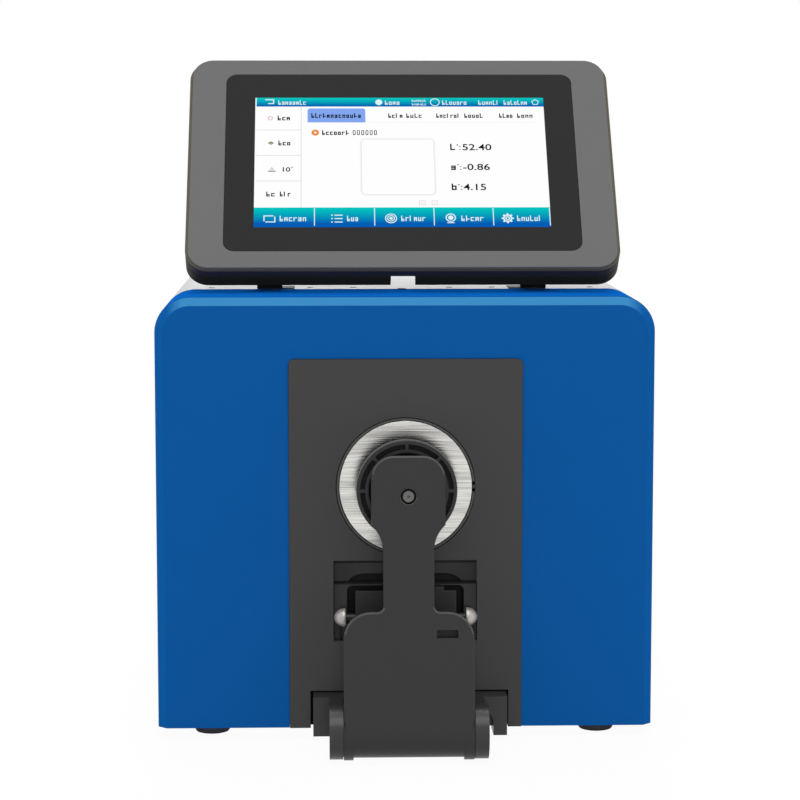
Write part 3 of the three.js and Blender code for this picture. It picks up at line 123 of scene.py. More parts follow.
class Graph:
    """The node tree of a material or a world."""

    def __init__(self, owner: Union[bpy.types.Material, bpy.types.World]) -> None:
        """Empties the owner's node tree."""
        owner.use_nodes = True
        self.owner = owner
        self.tree = owner.node_tree
        self.tree.nodes.clear()

    def wire(
        self, kind: str, inputs: Inputs = (), output: Union[int, str] = 0, **settings: object,
    ) -> Wire:
        """Adds a node and returns one of its outputs.

        Args:
            kind: The node's type.
            inputs: Values or wires by socket, or in the order of the sockets.
            output: The output's name or place.
            **settings: The node's properties, set first.

        Returns:
            The output as a value.
        """
        made = self.tree.nodes.new(kind)
        for key, value in settings.items():
            setattr(made, key, value)
        pairs = inputs.items() if isinstance(inputs, dict) else enumerate(inputs)
        for key, value in pairs:
            if isinstance(value, Wire):
                self.tree.links.new(value.socket, made.inputs[key])
            else:
                made.inputs[key].default_value = value
        return Wire(self, made.outputs[output])

    def close(self, surface: Wire) -> Union[bpy.types.Material, bpy.types.World]:
        """Leads a surface or a background out of the tree and returns the owner."""
        kind = "World" if isinstance(self.owner, bpy.types.World) else "Material"
        out = self.tree.nodes.new("ShaderNodeOutput" + kind)
        self.tree.links.new(surface.socket, out.inputs["Surface"])
        return self.owner

    def noise(self, scale: float, detail: float = 2.0, stretch: Colour = (1.0, 1.0, 1.0)) -> Wire:
        """Noise on object coordinates, from 0 to 1.

        Args:
            scale: How many features lie in a metre.
            detail: How many finer layers are added.
            stretch: Scale of the coordinates on each axis.

        Returns:
            The noise's value.
        """
        place = self.wire("ShaderNodeTexCoord", output="Object")
        mapped = self.wire("ShaderNodeMapping", {"Vector": place, "Scale": stretch})
        inputs = {"Vector": mapped, "Scale": scale, "Detail": detail}
        return self.wire("ShaderNodeTexNoise", inputs, noise_dimensions="3D")

    def ramp(self, value: Wire, low: float, high: float) -> Wire:
        """0 to 1 as a value goes from low to high."""
        return self.wire("ShaderNodeMapRange", {"Value": value, "From Min": low, "From Max": high})

    def fade(self, ends: Span, axis: Axis) -> Wire:
        """1 to 0 between two distances from the middle plane or the bench on an axis.

        Args:
            ends: The distances, in metres.
            axis: The axis.

        Returns:
            The fade's value.
        """
        place = self.wire("ShaderNodeTexCoord", output="Object")
        at = self.wire("ShaderNodeSeparateXYZ", [place], axis.name)
        near, far = (end * end for end in ends)
        return self.ramp(at * at, far, near)

    def mix(self, factor: Number, first: object, second: object) -> Wire:
        """A colour between two colours; the node's colour sockets are its seventh and eighth."""
        inputs = {0: factor, 6: first, 7: second}
        return self.wire("ShaderNodeMix", inputs, 2, data_type="RGBA")

    def bump(self, height: Wire, depth: float, strength: float) -> Wire:
        """A bump of a depth in millimetres."""
        inputs = {"Strength": strength, "Distance": depth * MM, "Height": height}
        return self.wire("ShaderNodeBump", inputs)


@dataclass(frozen=True)
class Finish:
    """A surface finish; the colour is as it shows on a screen, 0 to 255."""

    name: str
    colour: Colour
    roughness: float
    metallic: float = 0.0
    specular: float = 0.05

    def build(self) -> bpy.types.Material:
        """Makes the material of this finish."""
        raise NotImplementedError

    def graph(self) -> Graph:
        """Starts the finish's material."""
        return Graph(bpy.data.materials.new(self.name))

    def shades(self, spread: float) -> tuple[tuple[float, ...], tuple[float, ...]]:
        """The colour made darker and lighter by a share."""
        base = linear(self.colour)
        dark = tuple(c * (1 - spread) for c in base[:3]) + (1.0,)
        light = tuple(min(1.0, c * (1 + spread)) for c in base[:3]) + (1.0,)
        return dark, light

    def close(
        self, graph: Graph, colour: object, roughness: Wire, more: dict[str, object],
    ) -> bpy.types.Material:
        """Ends a graph with one Principled surface.

        Args:
            graph: The material's graph.
            colour: Its base colour.
            roughness: Its roughness.
            more: Values or wires of further sockets.

        Returns:
            The finished material.
        """
        return graph.close(graph.wire("ShaderNodeBsdfPrincipled", {
            "Base Color": colour, "Roughness": roughness, "Metallic": self.metallic,
            "Specular IOR Level": self.specular, **more,
        }))


@dataclass(frozen=True)
class Moulded(Finish):
    """Moulded plastic, paint or rubber: faint clouding and a fine grain."""

    grain: float = 0.35
    depth: float = 0.012
    mottle: float = 0.03
    beyond: Optional[Colour] = None
    reach: Span = (0.0, 1.0)

    def build(self) -> bpy.types.Material:
        """Makes the material of this finish."""
        graph = self.graph()
        cloud = graph.noise(38.0, 3.0)
        speck = graph.noise(1 / (self.grain * MM))
        colour = graph.mix(cloud * 0.7 + speck * 0.3, *self.shades(self.mottle))
        # Beyond a reach on X the colour changes; on the blue chamfer this ends its painted highlight
        # at the corners.
        if self.beyond is not None:
            colour = graph.mix(graph.fade(self.reach, Axis.X), linear(self.beyond), colour)
        # Noise averages one half, so half of what it adds is taken off
        roughness = cloud * 0.06 + speck * 0.05 + (self.roughness - 0.055)
        return self.close(graph, colour, roughness, {"Normal": graph.bump(speck, self.depth, 0.6)})


@dataclass(frozen=True)
class Brushed(Finish):
    """Metal with straight brush marks along one axis, or turned marks when short."""

    along: Axis = Axis.X
    length: float = 22.0
    width: float = 0.28
    spread: float = 0.22
    depth: float = 0.01

    def build(self) -> bpy.types.Material:
        """Makes the material of this finish."""
        graph = self.graph()
        stretch = [1.0, 1.0, 1.0]
        stretch[self.along.value] = self.width / self.length
        fine = graph.noise(1 / (self.width * MM), 4.0, tuple(stretch))
        broad = graph.noise(0.22 / (self.width * MM), 2.0, tuple(stretch))
        streak = fine * 0.62 + broad * 0.38
        sharp = graph.ramp(streak, 0.32, 0.62)
        colour = graph.mix(sharp, *self.shades(self.spread))
        roughness = sharp * -0.12 + (self.roughness + 0.06)
        return self.close(graph, colour, roughness, {"Normal": graph.bump(streak, self.depth, 0.8)})


@dataclass(frozen=True)
class Lit(Finish):
    """A lit part of the picture: one colour, or a fade between two heights in the picture."""

    specular: float = 0.0
    lower: Optional[Colour] = None
    heights: Span = (0.0, 1.0)

    def build(self) -> bpy.types.Material:
        """Makes the material of this finish."""
        graph = self.graph()
        colour: object = linear(self.colour)
        if self.lower is not None:
            colour = graph.mix(graph.fade(self.heights, Axis.Z), linear(self.lower), colour)
        pixel = graph.noise(1 / (0.18 * MM), 0.0)
        shown = graph.mix(pixel * 0.02, colour, BLACK)
        glow = {"Emission Color": shown, "Emission Strength": 1.0}
        return self.close(graph, (0.001, 0.001, 0.001, 1.0), pixel * 0.04 + self.roughness, glow)


@dataclass(frozen=True)
class Printed(Finish):
    """Cover glass printed dark behind: smooth with very faint waviness."""

    def build(self) -> bpy.types.Material:
        """Makes the material of this finish."""
        graph = self.graph()
        wave = graph.noise(26.0, 1.0)
        colour = graph.mix(wave, *self.shades(0.04))
        roughness = wave * 0.05 + self.roughness
        return self.close(graph, colour, roughness, {"Normal": graph.bump(wave, 0.02, 0.15)})


FINISHES: dict[str, Finish] = {
    finish.name: finish
    for finish in (
        Moulded("blue_shell", (14, 80, 146), 0.42, specular=0.0, grain=0.5),
        # The chamfer's lighter blue is a painted highlight where the rim faces the light; beyond a
        # reach on X it gives way to the plain blue of the front.
        Moulded("blue_chamfer_painted_highlight", (57, 129, 182), 0.42, specular=0.0, grain=0.5, beyond=(15, 87, 157),
                reach=(0.112, 0.1195)),
        # The top's lighter blue is painted light: the same plastic as the front, made brighter where
        # light falls from above.
        Moulded("blue_top_painted_light", (12, 103, 197), 0.42, specular=0.0, grain=0.5),
        Moulded("grey_shell", (187, 188, 189), 0.4, specular=0.3, grain=0.45),
        # Tones of one black plastic: the tray is painted lighter as light that reaches into the
        # recess, and the step darker as shade under the recess's ceiling.
        *(
            Moulded(name, (tone, tone, tone), 0.6, grain=0.3, mottle=0.05)
            for name, tone in (
                ("black_plate", 64), ("black_tray_painted_light", 70), ("black_ledge", 60), ("black_step_painted_shade", 46),
            )
        ),
        Moulded("black_hinge", (46, 46, 47), 0.34, specular=0.3, grain=0.3, mottle=0.05),
        Moulded("black_arm", (43, 43, 43), 0.36, specular=0.22, grain=0.3, mottle=0.04),
        Moulded("screw_grey", (100, 99, 97), 0.4, metallic=0.4, specular=0.2, grain=0.4),
        Moulded("rubber", (63, 64, 68), 0.8, grain=0.7, depth=0.04, mottle=0.08),
        Brushed("brushed_ring", (203, 202, 198), 0.22, metallic=1.0, depth=0.16, spread=0.3,
                length=26.0, width=0.6),
        Moulded("chrome", (184, 180, 176), 0.38, metallic=0.55, specular=0.4, grain=0.5, depth=0.09,
                mottle=0.45),
        # A lighter grey painted on edges and lips that face the light, as a highlight.
        Moulded("edge_painted_highlight", (79, 79, 78), 0.5, grain=0.3),
        Brushed("steel", (150, 152, 155), 0.4, metallic=0.85, along=Axis.Y, length=2.0, width=0.2),
        Moulded("display_grey", (101, 101, 101), 0.5),
        Moulded("display_dark", (92, 86, 73), 0.5),
        Moulded("display_shell", (46, 43, 50), 0.45),
        Moulded("display_black", (41, 38, 27), 0.5),
        Moulded("black_back", (37, 37, 39), 0.5),
        Printed("display_glass", (33, 33, 33), 0.32),
        Moulded("sphere_white", (242, 242, 238), 0.85, grain=0.6, depth=0.03),
        Moulded("board_green", (31, 107, 58), 0.5, grain=1.2, depth=0.03, mottle=0.1),
        Brushed("sheet", (184, 187, 190), 0.45, metallic=0.7, length=30.0, width=0.4, spread=0.08),
        # Near-black painted in gaps, slots and recesses, and on parts seen through them, as shade.
        Moulded("gap_painted_shade", (15, 15, 15), 0.8),
        # A dark grey painted in the backs of pockets and windows, as shade.
        Moulded("pocket_painted_shade", (39, 39, 39), 0.8),
        # A pale grey painted on walls of the recess that face the side, as light on walls that lie in
        # shade.
        Moulded("side_painted_light", (160, 160, 160), 0.6, grain=0.3),
        *(
            Lit(name, colour, 0.3)
            for name, colour in (
                ("picture", (255, 255, 255)), ("ink_white", (226, 244, 250)),
                ("ink_text", (20, 21, 23)), ("ink_figures", (14, 15, 16)),
                ("ink_tab", (131, 167, 240)), ("ink_rule", (206, 206, 206)),
                ("ink_rule_faint", (240, 240, 244)), ("ink_shade_faint", (247, 247, 247)),
                ("ink_shade", (234, 234, 234)), ("ink_screen", (255, 255, 255)),
                ("ink_orange", (238, 132, 46)), ("ink_rose", (196, 110, 130)),
                ("ink_olive", (150, 160, 40)),
            )
        ),
    )
}


@lru_cache(maxsize=None)
def material(finish: str) -> bpy.types.Material:
    """The material of a finish, made once."""
    return FINISHES[finish].build()


# Forms


def as_mesh(name: str, form: Form) -> bpy.types.Mesh:
    """A mesh of a form, which is used up."""
    mesh = bpy.data.meshes.new(name)
    form.to_mesh(mesh)
    form.free()
    return mesh


def linked(name: str, data: bpy.types.ID) -> bpy.types.Object:
    """A new object in the scene."""
    thing = bpy.data.objects.new(name, data)
    bpy.context.scene.collection.objects.link(thing)
    return thing


def row_y(y: float) -> float:
    """Where a distance behind the shell's front face lies in the row frame, in metres."""
    return (y - SHIFT) * MM


def span(middle: float, size: float) -> Span:
    """The two ends of a size about a middle."""
    return (middle - size / 2, middle + size / 2)


def block(x: Span, y: Span, z: Span) -> Form:
    """A box between two values on each axis.

    Args:
        x: Its ends on X.
        y: Its ends on Y.
        z: Its ends on Z.

    Returns:
        The box.
    """
    form = bmesh.new()
    bmesh.ops.create_cube(form, size=1.0)
    sides = (x, y, z)
    bmesh.ops.scale(form, vec=[high - low for low, high in sides], verts=form.verts)
    bmesh.ops.translate(form, vec=[sum(side) / 2 for side in sides], verts=form.verts)
    return form


def round_edges(
    form: Form, chosen: Callable[[Edge], bool], radius: float, segments: int = 2,
) -> None:
    """Bevels the edges that a test picks.

    Args:
        form: The mesh to work on.
        chosen: Says whether an edge is rounded.
        radius: Width of the bevel.
        segments: How many faces the bevel has.
    """
    edges = [edge for edge in form.edges if chosen(edge)]
    bmesh.ops.bevel(
        form, geom=edges, offset=radius, offset_type="OFFSET", affect="EDGES",
        segments=segments, profile=0.5, material=-1, clamp_overlap=True,
    )


def runs_back(edge: Edge) -> bool:
    """Whether an edge runs straight from front to back."""
    return abs((edge.verts[1].co - edge.verts[0].co).normalized().y) > 0.999


def lies_at(y: float, edge: Edge) -> bool:
    """Whether both ends of an edge lie at one distance behind the front."""
    return all(abs(v.co.y - y) < 1e-3 for v in edge.verts)


def is_crease(edge: Edge, least: float = 50.0) -> bool:
    """Whether two faces meet at an edge at more than an angle in degrees."""
    return len(edge.link_faces) == 2 and edge.calc_face_angle(0.0) > math.radians(least)


def slab(
    width: float, height: float, y: Span, radius: float, middle: Span = (0.0, 0.0),
    rim: float = 0.0, segments: int = 12,
) -> Form:
    """A plate that faces the front, with round corners and softened rims.

    Args:
        width: Its size on X.
        height: Its size on Z.
        y: Its front and back.
        radius: Radius of its four corners.
        middle: Its middle on X and Z.
        rim: Radius of the edge round its front and back, or 0.
        segments: Faces in each corner.

    Returns:
        The plate.
    """
    form = block(span(middle[0], width), y, span(middle[1], height))
    round_edges(form, runs_back, radius, segments)
    if rim:
        round_edges(form, lambda e: is_crease(e) and not runs_back(e), rim, 3)
    return form


def turned(
    axis: Axis, profile: Sequence[Span], middle: Sequence[float], sides: int = 64,
) -> Form:
    """A profile of radius and place pairs spun about an axis.

    Args:
        axis: The axis that it is spun about.
        profile: The outline, as pairs of a radius and a place on the axis.
        middle: The point that places are counted from.
        sides: Faces round the axis.

    Returns:
        The closed turned form.
    """
    form = bmesh.new()
    points = []
    for radius, place in profile:
        at = Vector((0.0, 0.0, 0.0))
        at[axis.value] = place
        at[(axis.value + 1) % 3] = radius
        points.append(form.verts.new(at))
    edges = [form.edges.new(pair) for pair in zip(points, points[1:])]
    if profile[0][0] > 0:
        edges.append(form.edges.new((points[-1], points[0])))
    turn = Vector((0.0, 0.0, 0.0))
    turn[axis.value] = 1.0
    bmesh.ops.spin(
        form, geom=points + edges, cent=(0.0, 0.0, 0.0), axis=turn, angle=2 * math.pi,
        steps=sides, use_merge=True, use_duplicate=False,
    )
    bmesh.ops.remove_doubles(form, verts=form.verts, dist=WELD)
    bmesh.ops.recalc_face_normals(form, faces=form.faces)
    bmesh.ops.translate(form, vec=middle, verts=form.verts)
    return form


def tube(
    radii: Span, ends: Span, middle: Sequence[float], sides: int = 64, axis: Axis = Axis.Y,
) -> Form:
    """A tube, or a solid cylinder when its bore is 0.

    Args:
        radii: Radius of its bore and of its outside.
        ends: Its two ends on the axis.
        middle: The point that places are counted from.
        sides: Faces round it.
        axis: The axis that it lies on.

    Returns:
        The tube.
    """
    bore, radius = radii
    low, high = ends
    profile = [(bore, low), (radius, low), (radius, high), (bore, high)]
    return turned(axis, profile, middle, sides)


def combined(form: Form, others: Iterable[Form], way: str = "DIFFERENCE") -> Form:
    """Cuts forms out of a form, or joins them to it.

    Args:
        form: The form to work on; it is used up.
        others: The cutters or the forms to join; they are used up.
        way: DIFFERENCE or UNION.

    Returns:
        The new form.
    """
    objects = [linked("part", as_mesh("part", part)) for part in (form, *others)]
    for other in objects[1:]:
        modifier = objects[0].modifiers.new("cut", "BOOLEAN")
        modifier.operation = way
        modifier.solver = "EXACT"
        modifier.object = other
    made = bmesh.new()
    made.from_object(objects[0], bpy.context.evaluated_depsgraph_get())
    for thing in objects:
        mesh = thing.data
        bpy.data.objects.remove(thing)
        bpy.data.meshes.remove(mesh)
    bmesh.ops.remove_doubles(made, verts=made.verts, dist=WELD)
    bmesh.ops.dissolve_degenerate(made, edges=made.edges, dist=WELD)
    return made


def merged(node: str) -> Form:
    """A CAD node's mesh in metres with its flat faces whole.

    Args:
        node: The CAD node's name.

    Returns:
        A copy of its mesh.
    """
    form = bmesh.new()
    form.from_mesh(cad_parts[node].data)
    bmesh.ops.remove_doubles(form, verts=form.verts, dist=1e-6)
    flat = math.radians(0.6)
    bmesh.ops.dissolve_limit(form, angle_limit=flat, verts=form.verts, edges=form.edges)
    return form


def tilted(y: float, z: float, lean: float) -> Matrix:
    """Places a form that leans back by an angle in degrees, in the row frame."""
    turn = Matrix.Rotation(math.radians(-lean), 4, "X")
    return ROW @ Matrix.Translation((0.0, y, z)) @ turn


class Bench:
    """Turns forms into named pieces that ride on the instrument's bodies."""

    def __init__(self) -> None:
        """Starts with no piece made."""
        self.count = 0

    def add(
        self, name: str, form: Form, finish: str, replaces: Sequence[str] = (),
        body: Body = Body.CASING, place: Matrix = ROW, slot: Optional[str] = None,
    ) -> bpy.types.Object:
        """Makes a piece of a form.

        Args:
            name: The piece's name.
            form: Its mesh; it is used up.
            finish: Its finish.
            replaces: The CAD nodes that it stands for.
            body: The body that it moves with.
            place: Carries the form into the row frame.
            slot: The record's material slot, if it isn't the finish's own name; not used.

        Returns:
            The new object.
        """
        mesh = as_mesh(name, form)
        mesh.transform(place)
        mesh.materials.clear()
        mesh.materials.append(material(finish))
        for polygon in mesh.polygons:
            polygon.use_smooth = True
            polygon.material_index = 0
        mesh.set_sharp_from_angle(angle=math.radians(CREASE))
        piece = linked(name, mesh)
        weighted = piece.modifiers.new("even_shading", "WEIGHTED_NORMAL")
        weighted.keep_sharp = True
        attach(piece, body.value)
        slot or finish
        if replaces:
            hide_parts(*replaces)
        self.count += 1
        log.info("%s: %d faces on %s", name, len(mesh.polygons), body.value)
        return piece

    def region(self, piece: bpy.types.Object, finish: str, chosen: Callable[[Face], bool]) -> None:
        """Gives the faces that a test picks a finish of their own.

        Args:
            piece: The piece.
            finish: The finish of those faces.
            chosen: Says whether a face gets the finish.
        """
        piece.data.materials.append(material(finish))
        for polygon in piece.data.polygons:
            if chosen(polygon):
                polygon.material_index = len(piece.data.materials) - 1

    def soften(
        self, node: str, finish: str, radius: float = 0.3, segments: int = 2,
        reshape: Optional[Callable[[Form], None]] = None, **options: object,
    ) -> bpy.types.Object:
        """A merged copy of a CAD node with its sharp edges rounded.

        Args:
            node: The CAD node, which the copy stands for.
            finish: Its finish.
            radius: Width of the rounding in millimetres.
            segments: Faces in each rounded edge.
            reshape: Moves vertices of the copy before its edges are rounded.
            **options: Its body and slot, as in add.

        Returns:
            The new object.
        """
        form = merged(node)
        if reshape:
            reshape(form)
        round_edges(form, lambda e: is_crease(e, 30.0), radius * MM, segments)
        still = Matrix.Identity(4)
        return self.add(node + "_soft", form, finish, [node], place=still, **options)

    def dress(self, finish: str, *nodes: str) -> None:
        """Gives CAD nodes that are shown as they are a finish.

        Args:
            finish: The finish.
            *nodes: The nodes' names.
        """
        for node in nodes:
            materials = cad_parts[node].data.materials
            materials.clear()
            materials.append(material(finish))


# Sub-assemblies


@dataclass
class Casing:
    """The blue front shell, the grey sleeve, the back and the feet."""

    width: float = 252.0
    depth: float = 340.0
    shell_depth: float = 62.0
    corner: float = 18.0
    cad_corner: float = 23.0
    corner_faces: int = 14
    chamfer: float = 4.5
    chamfer_turn: Span = (-0.75, -0.65)
    top_turn: float = 0.3
    wall: float = 2.5
    front_wall: float = 3.5
    seam: float = 0.4
    window: Span = (118.0, 194.1)
    window_corner: float = 2.9
    cable_width: float = 4.4
    cable_reach: float = 3.4
    cable_depth: float = 3.0
    soft: float = 0.45
    seam_soft: float = 0.3
    sleeve_soft: float = 0.4
    foot_x: float = 99.0
    foot_y: Span = (18.0, 320.0)

    def arch(self, inset: float, low: float, y: Span) -> Form:
        """A bar with the casing's section: square at the heels, round at the shoulders.

        Args:
            inset: How far it lies inside the casing's outline.
            low: Its lower end.
            y: Its front and back.

        Returns:
            The bar.
        """
        top = CASING_TOP - inset
        form = block(span(0, self.width - 2 * inset), y, (low, top))
        round_edges(
            form, lambda e: runs_back(e) and e.verts[0].co.z > top - 1, self.corner - inset,
            self.corner_faces,
        )
        return form

    def cable_slot(self, y: Span) -> Form:
        """The cutter of the slot for the display's cable, at both sides of the seam."""
        return block(span(0, self.cable_width), y, (CASING_TOP - self.cable_depth, CASING_TOP + PAST))

    def shell(self) -> Form:
        """The blue shell with its chamfered rim, its window and its cable slot."""
        low = CASING_BOTTOM - 2 * self.chamfer
        form = self.arch(0, low, (0, self.shell_depth))
        round_edges(form, lambda e: lies_at(0, e), self.chamfer, 1)
        near = self.chamfer * 2
        round_edges(
            form,
            lambda e: is_crease(e, 30) and not runs_back(e) and all(v.co.y < near for v in e.verts),
            self.soft, 3,
        )
        round_edges(form, lambda e: is_crease(e) and lies_at(self.shell_depth, e), self.seam_soft)
        wide = span(0, 2 * self.width)
        under = low - PAST
        width, top = self.window
        cuts = [
            block(wide, wide, (under, CASING_BOTTOM)),
            self.arch(self.wall, under, (self.front_wall, self.shell_depth + PAST)),
            slab(
                width, top - under, (-PAST, self.front_wall + PAST), self.window_corner,
                (0, (top + under) / 2),
            ),
            self.cable_slot((self.shell_depth - self.cable_reach, self.shell_depth + PAST)),
        ]
        return combined(form, cuts)

    def sleeve(self) -> Form:
        """The grey sleeve behind the seam."""
        start = self.shell_depth + self.seam
        form = self.arch(0, CASING_BOTTOM, (start, self.depth))
        round_edges(form, lambda e: is_crease(e) and not runs_back(e), self.sleeve_soft, 3)
        cuts = [
            self.arch(self.wall, CASING_BOTTOM - PAST, (start - PAST, self.depth + PAST)),
            self.cable_slot((start - PAST, start + self.cable_reach)),
        ]
        return combined(form, cuts)

    def tighten(self, form: Form) -> None:
        """Gives a CAD plate inside the sleeve the sleeve's tighter corners.

        Args:
            form: The plate's mesh, in metres.
        """
        shift = (self.cad_corner - self.corner) * MM
        middle = Vector((self.width / 2 - self.cad_corner, CASING_TOP - self.cad_corner)) * MM
        for vert in form.verts:
            side = math.copysign(1.0, vert.co.x)
            out = Vector((abs(vert.co.x), vert.co.z)) - middle
            if min(out) > -1e-6 and out.length > 3 * shift:
                out = middle + out.normalized() * (out.length - shift) + Vector((shift, shift))
                vert.co.x, vert.co.z = side * out.x, out.y

    def foot(self, x: float, y: float) -> Form:
        """A turned rubber foot with a rounded tip and its stem.

        Args:
            x: Its middle on X.
            y: Its middle on Y.

        Returns:
            The foot.
        """
        profile = [
            (0, 0), (7.7, 0), (8.3, 0.2), (8.8, 0.8), (9.0, 1.8), (9.0, 4.9), (8.75, 5.2),
            (2, 5.2), (2, 7.5), (0, 7.5),
        ]
        return turned(Axis.Z, profile, (x, y, 0), 48)

    def build(self, bench: Bench) -> None:
        """Builds the casing's pieces."""
        shell = bench.add("shell_front", self.shell(), "blue_shell", ["front_bezel"])
        low, high = self.chamfer_turn
        # The chamfer gets a lighter blue as a painted highlight, and the top a lighter blue as painted
        # light from above.
        bench.region(shell, "blue_chamfer_painted_highlight", lambda p: low < p.normal.y < high)
        bench.region(shell, "blue_top_painted_light", lambda p: p.normal.z > self.top_turn > abs(p.normal.y))
        sleeve = bench.add("sleeve_rear", self.sleeve(), "grey_shell", ["rear_housing"])
        # The back of the cable slot is painted near-black as shade.
        end = row_y(self.shell_depth + self.seam + self.cable_reach)
        bench.region(sleeve, "gap_painted_shade", lambda p: p.normal.y < -FACING and abs(p.center.y - end) < MM)
        for row, y in zip(("front", "rear"), self.foot_y):
            for side, x in (("left", -self.foot_x), ("right", self.foot_x)):
                name = f"foot_{row}_{side}"
                bench.add(name + "_turned", self.foot(x, y), "rubber", [name])
        bench.soften("back_panel", "grey_shell", 0.15, 1, reshape=self.tighten)
        bench.dress("sheet", "base_plate")
        # The bulkhead behind the plate is painted near-black as shade.
        bench.dress("gap_painted_shade", "front_bulkhead")


@dataclass
class Aperture:
    """The black plate, the mask ring and its seat, and the recess below."""

    plate_width: float = 117.8
    plate_top: float = 193.95
    front: float = -1.5
    plate_thickness: float = 6.0
    corner: float = 2.6
    centre: float = 129.3
    well: float = 35.2
    mask: float = 33.5
    mask_thickness: float = 2.5
    hole: float = 12.7
    rim: float = 17.0
    pip: float = 1.0
    seat_bore: float = 16.0
    recess: tuple[Span, Span] = ((-36.5, 36.5), (50.3, 91.6))
    notch: tuple[Span, Span] = ((-48.3, 52.2), (-9.0, 24.65))
    frame_top: float = 80.0
    frame_arch: float = 76.0
    frame_drop: float = 1.8
    arch_drop: float = 1.15
    recess_floor: float = 13.8
    recess_wall: Span = (30.0, 40.0)
    pocket_wall: float = 16.0
    pocket_reach: float = 29.5
    pocket_spread: float = 1.12
    ledge_drop: float = 3.4
    guide_back: float = -1.2
    pin_place: tuple[float, float, float] = (30.5, -1.5, 62.7)
    pin_radius: float = 4.85
    pin_height: float = 5.8

    def plate(self) -> Form:
        """The black front plate with its well, recess opening and hinge notch."""
        y = (self.front, self.front + self.plate_thickness)
        low = CASING_BOTTOM - PAST
        form = slab(
            self.plate_width, self.plate_top - low, y, self.corner,
            (0, (self.plate_top + low) / 2), 0.0, 6,
        )
        through = (y[0] - PAST, y[1] + PAST)
        cuts = [
            block(span(0, 2 * self.plate_width), through, (low - PAST, CASING_BOTTOM)),
            tube((0, self.well), through, (0, 0, self.centre), 128),
            block(self.recess[0], through, self.recess[1]),
            block(self.notch[0], through, self.notch[1]),
        ]
        form = combined(form, cuts)
        round_edges(form, lambda e: is_crease(e) and lies_at(self.front, e), 0.35)
        return form

    def pips(self) -> list[Form]:
        """Cutters of the two small notches at the right edge of the mask."""
        x = self.mask + 0.75
        return [
            tube((0, self.pip), (-PAST, PAST), (x, 0, self.centre + offset), 24)
            for offset in (-1.65, 1.65)
        ]

    def ring(self) -> Form:
        """The mask ring with its conical mouth."""
        front = self.front
        back = front + self.mask_thickness
        profile = [
            (self.hole, back), (self.mask, back), (self.mask, front + 0.2),
            (self.mask - 0.2, front), (self.rim, front),
            (self.hole, front + self.mask_thickness / 2),
        ]
        return combined(turned(Axis.Y, profile, (0, 0, self.centre), 160), self.pips())

    def seat(self) -> Form:
        """The seat behind the mask, with a thin lip that shows round it."""
        floor = self.front + self.mask_thickness + 0.3
        back = floor + 3.0
        lip = self.front + 0.25
        outer, inner = self.well - 0.3, self.mask + 0.3
        profile = [
            (self.seat_bore, back), (outer, back), (outer, lip + 0.2), (outer - 0.15, lip),
            (inner + 0.15, lip), (inner, lip + 0.2), (inner, floor), (self.seat_bore, floor),
        ]
        return combined(turned(Axis.Y, profile, (0, 0, self.centre), 128), self.pips())

    def lower_frame(self, form: Form) -> None:
        """Thins the frame's top bar and sets it lower.

        Args:
            form: The frame's mesh, in metres.
        """
        for vert in form.verts:
            if vert.co.z > self.frame_top * MM:
                vert.co.z -= self.frame_drop * MM
            elif vert.co.z > self.frame_arch * MM:
                vert.co.z -= self.arch_drop * MM

    def widen_pocket(self, form: Form) -> None:
        """Spreads the arched pocket in the tray's back wall a little.

        Args:
            form: The tray's mesh, in metres.
        """
        for vert in form.verts:
            if vert.co.y > row_y(self.recess_floor) and abs(vert.co.x) < self.pocket_reach * MM:
                vert.co.x *= self.pocket_spread

    def ledge(self) -> Form:
        """The low step under the recess's ceiling, painted darker as shade."""
        (left, right), (_, top) = self.recess
        form = block((left + 0.1, right - 0.1), (11.5, 13.9), (top - self.ledge_drop, top - 0.1))
        round_edges(form, is_crease, 0.25)
        return form

    def head(self, side: int) -> Form:
        """A bright domed pin head, flat towards the middle.

        Args:
            side: -1 for the left one, 1 for the right one.

        Returns:
            The head.
        """
        steps = 14
        turns = [i / steps * math.pi / 2 for i in range(1, steps)]
        top = side * self.pin_height
        dome = [(self.pin_radius * math.cos(t), top * math.sin(t)) for t in turns]
        x, y, z = self.pin_place
        profile = [(0, 0), (self.pin_radius - 0.25, 0), *dome, (0, top)]
        return turned(Axis.X, profile, (side * x, y, z), 40)

    def build(self, bench: Bench) -> None:
        """Builds the pieces round the port."""
        plate = bench.add("plate_front", self.plate(), "black_plate", ["aperture_plate"])
        low, high = (x * MM for x in self.recess_wall)
        # The recess's right-hand wall is painted pale as light.
        bench.region(plate, "side_painted_light", lambda p: p.normal.x < -FACING and low < p.center.x < high)
        bench.add("ring_brushed", self.ring(), "brushed_ring", ["target_mask"])
        seat = bench.add("ring_seat", self.seat(), "black_plate", ["aperture_seat"])
        lip = row_y(self.front + 1.0)
        # The front of the lip round the mask takes the lighter grey of the painted highlight.
        bench.region(seat, "edge_painted_highlight", lambda p: p.normal.y < -FACING and p.center.y < lip)
        for side, name in ((-1, "pin_head_left"), (1, "pin_head_right")):
            bench.add(name + "_dome", self.head(side), "chrome", [name])
        # The tray is painted lighter than the plate, as light that reaches into the recess.
        tray = bench.soften(
            "recess_tray", "black_tray_painted_light", 0.2, 1, slot="black_plate", reshape=self.widen_pocket,
        )
        # The back wall of the arched pocket is painted dark as shade.
        bench.region(tray, "pocket_painted_shade", lambda p: p.center.y > row_y(self.pocket_wall))
        # The tray's right-hand wall is painted pale as light.
        bench.region(tray, "side_painted_light", lambda p: p.normal.x < -FACING and p.center.x > low)
        # The step is painted darker than the plate, as shade under the recess's ceiling.
        bench.add("recess_ledge", self.ledge(), "black_step_painted_shade", slot="black_plate")
        bench.soften(
            "guide_frame", "black_ledge", 0.2, slot="black_plate", reshape=self.lower_frame,
        )
        guide = bench.soften("guide_block", "black_arm", 0.4)
        # The back of the guide block is painted near-black as shade.
        bench.region(guide, "gap_painted_shade", lambda p: p.center.y > row_y(self.guide_back))
        bench.dress("black_arm", "cross_pin")


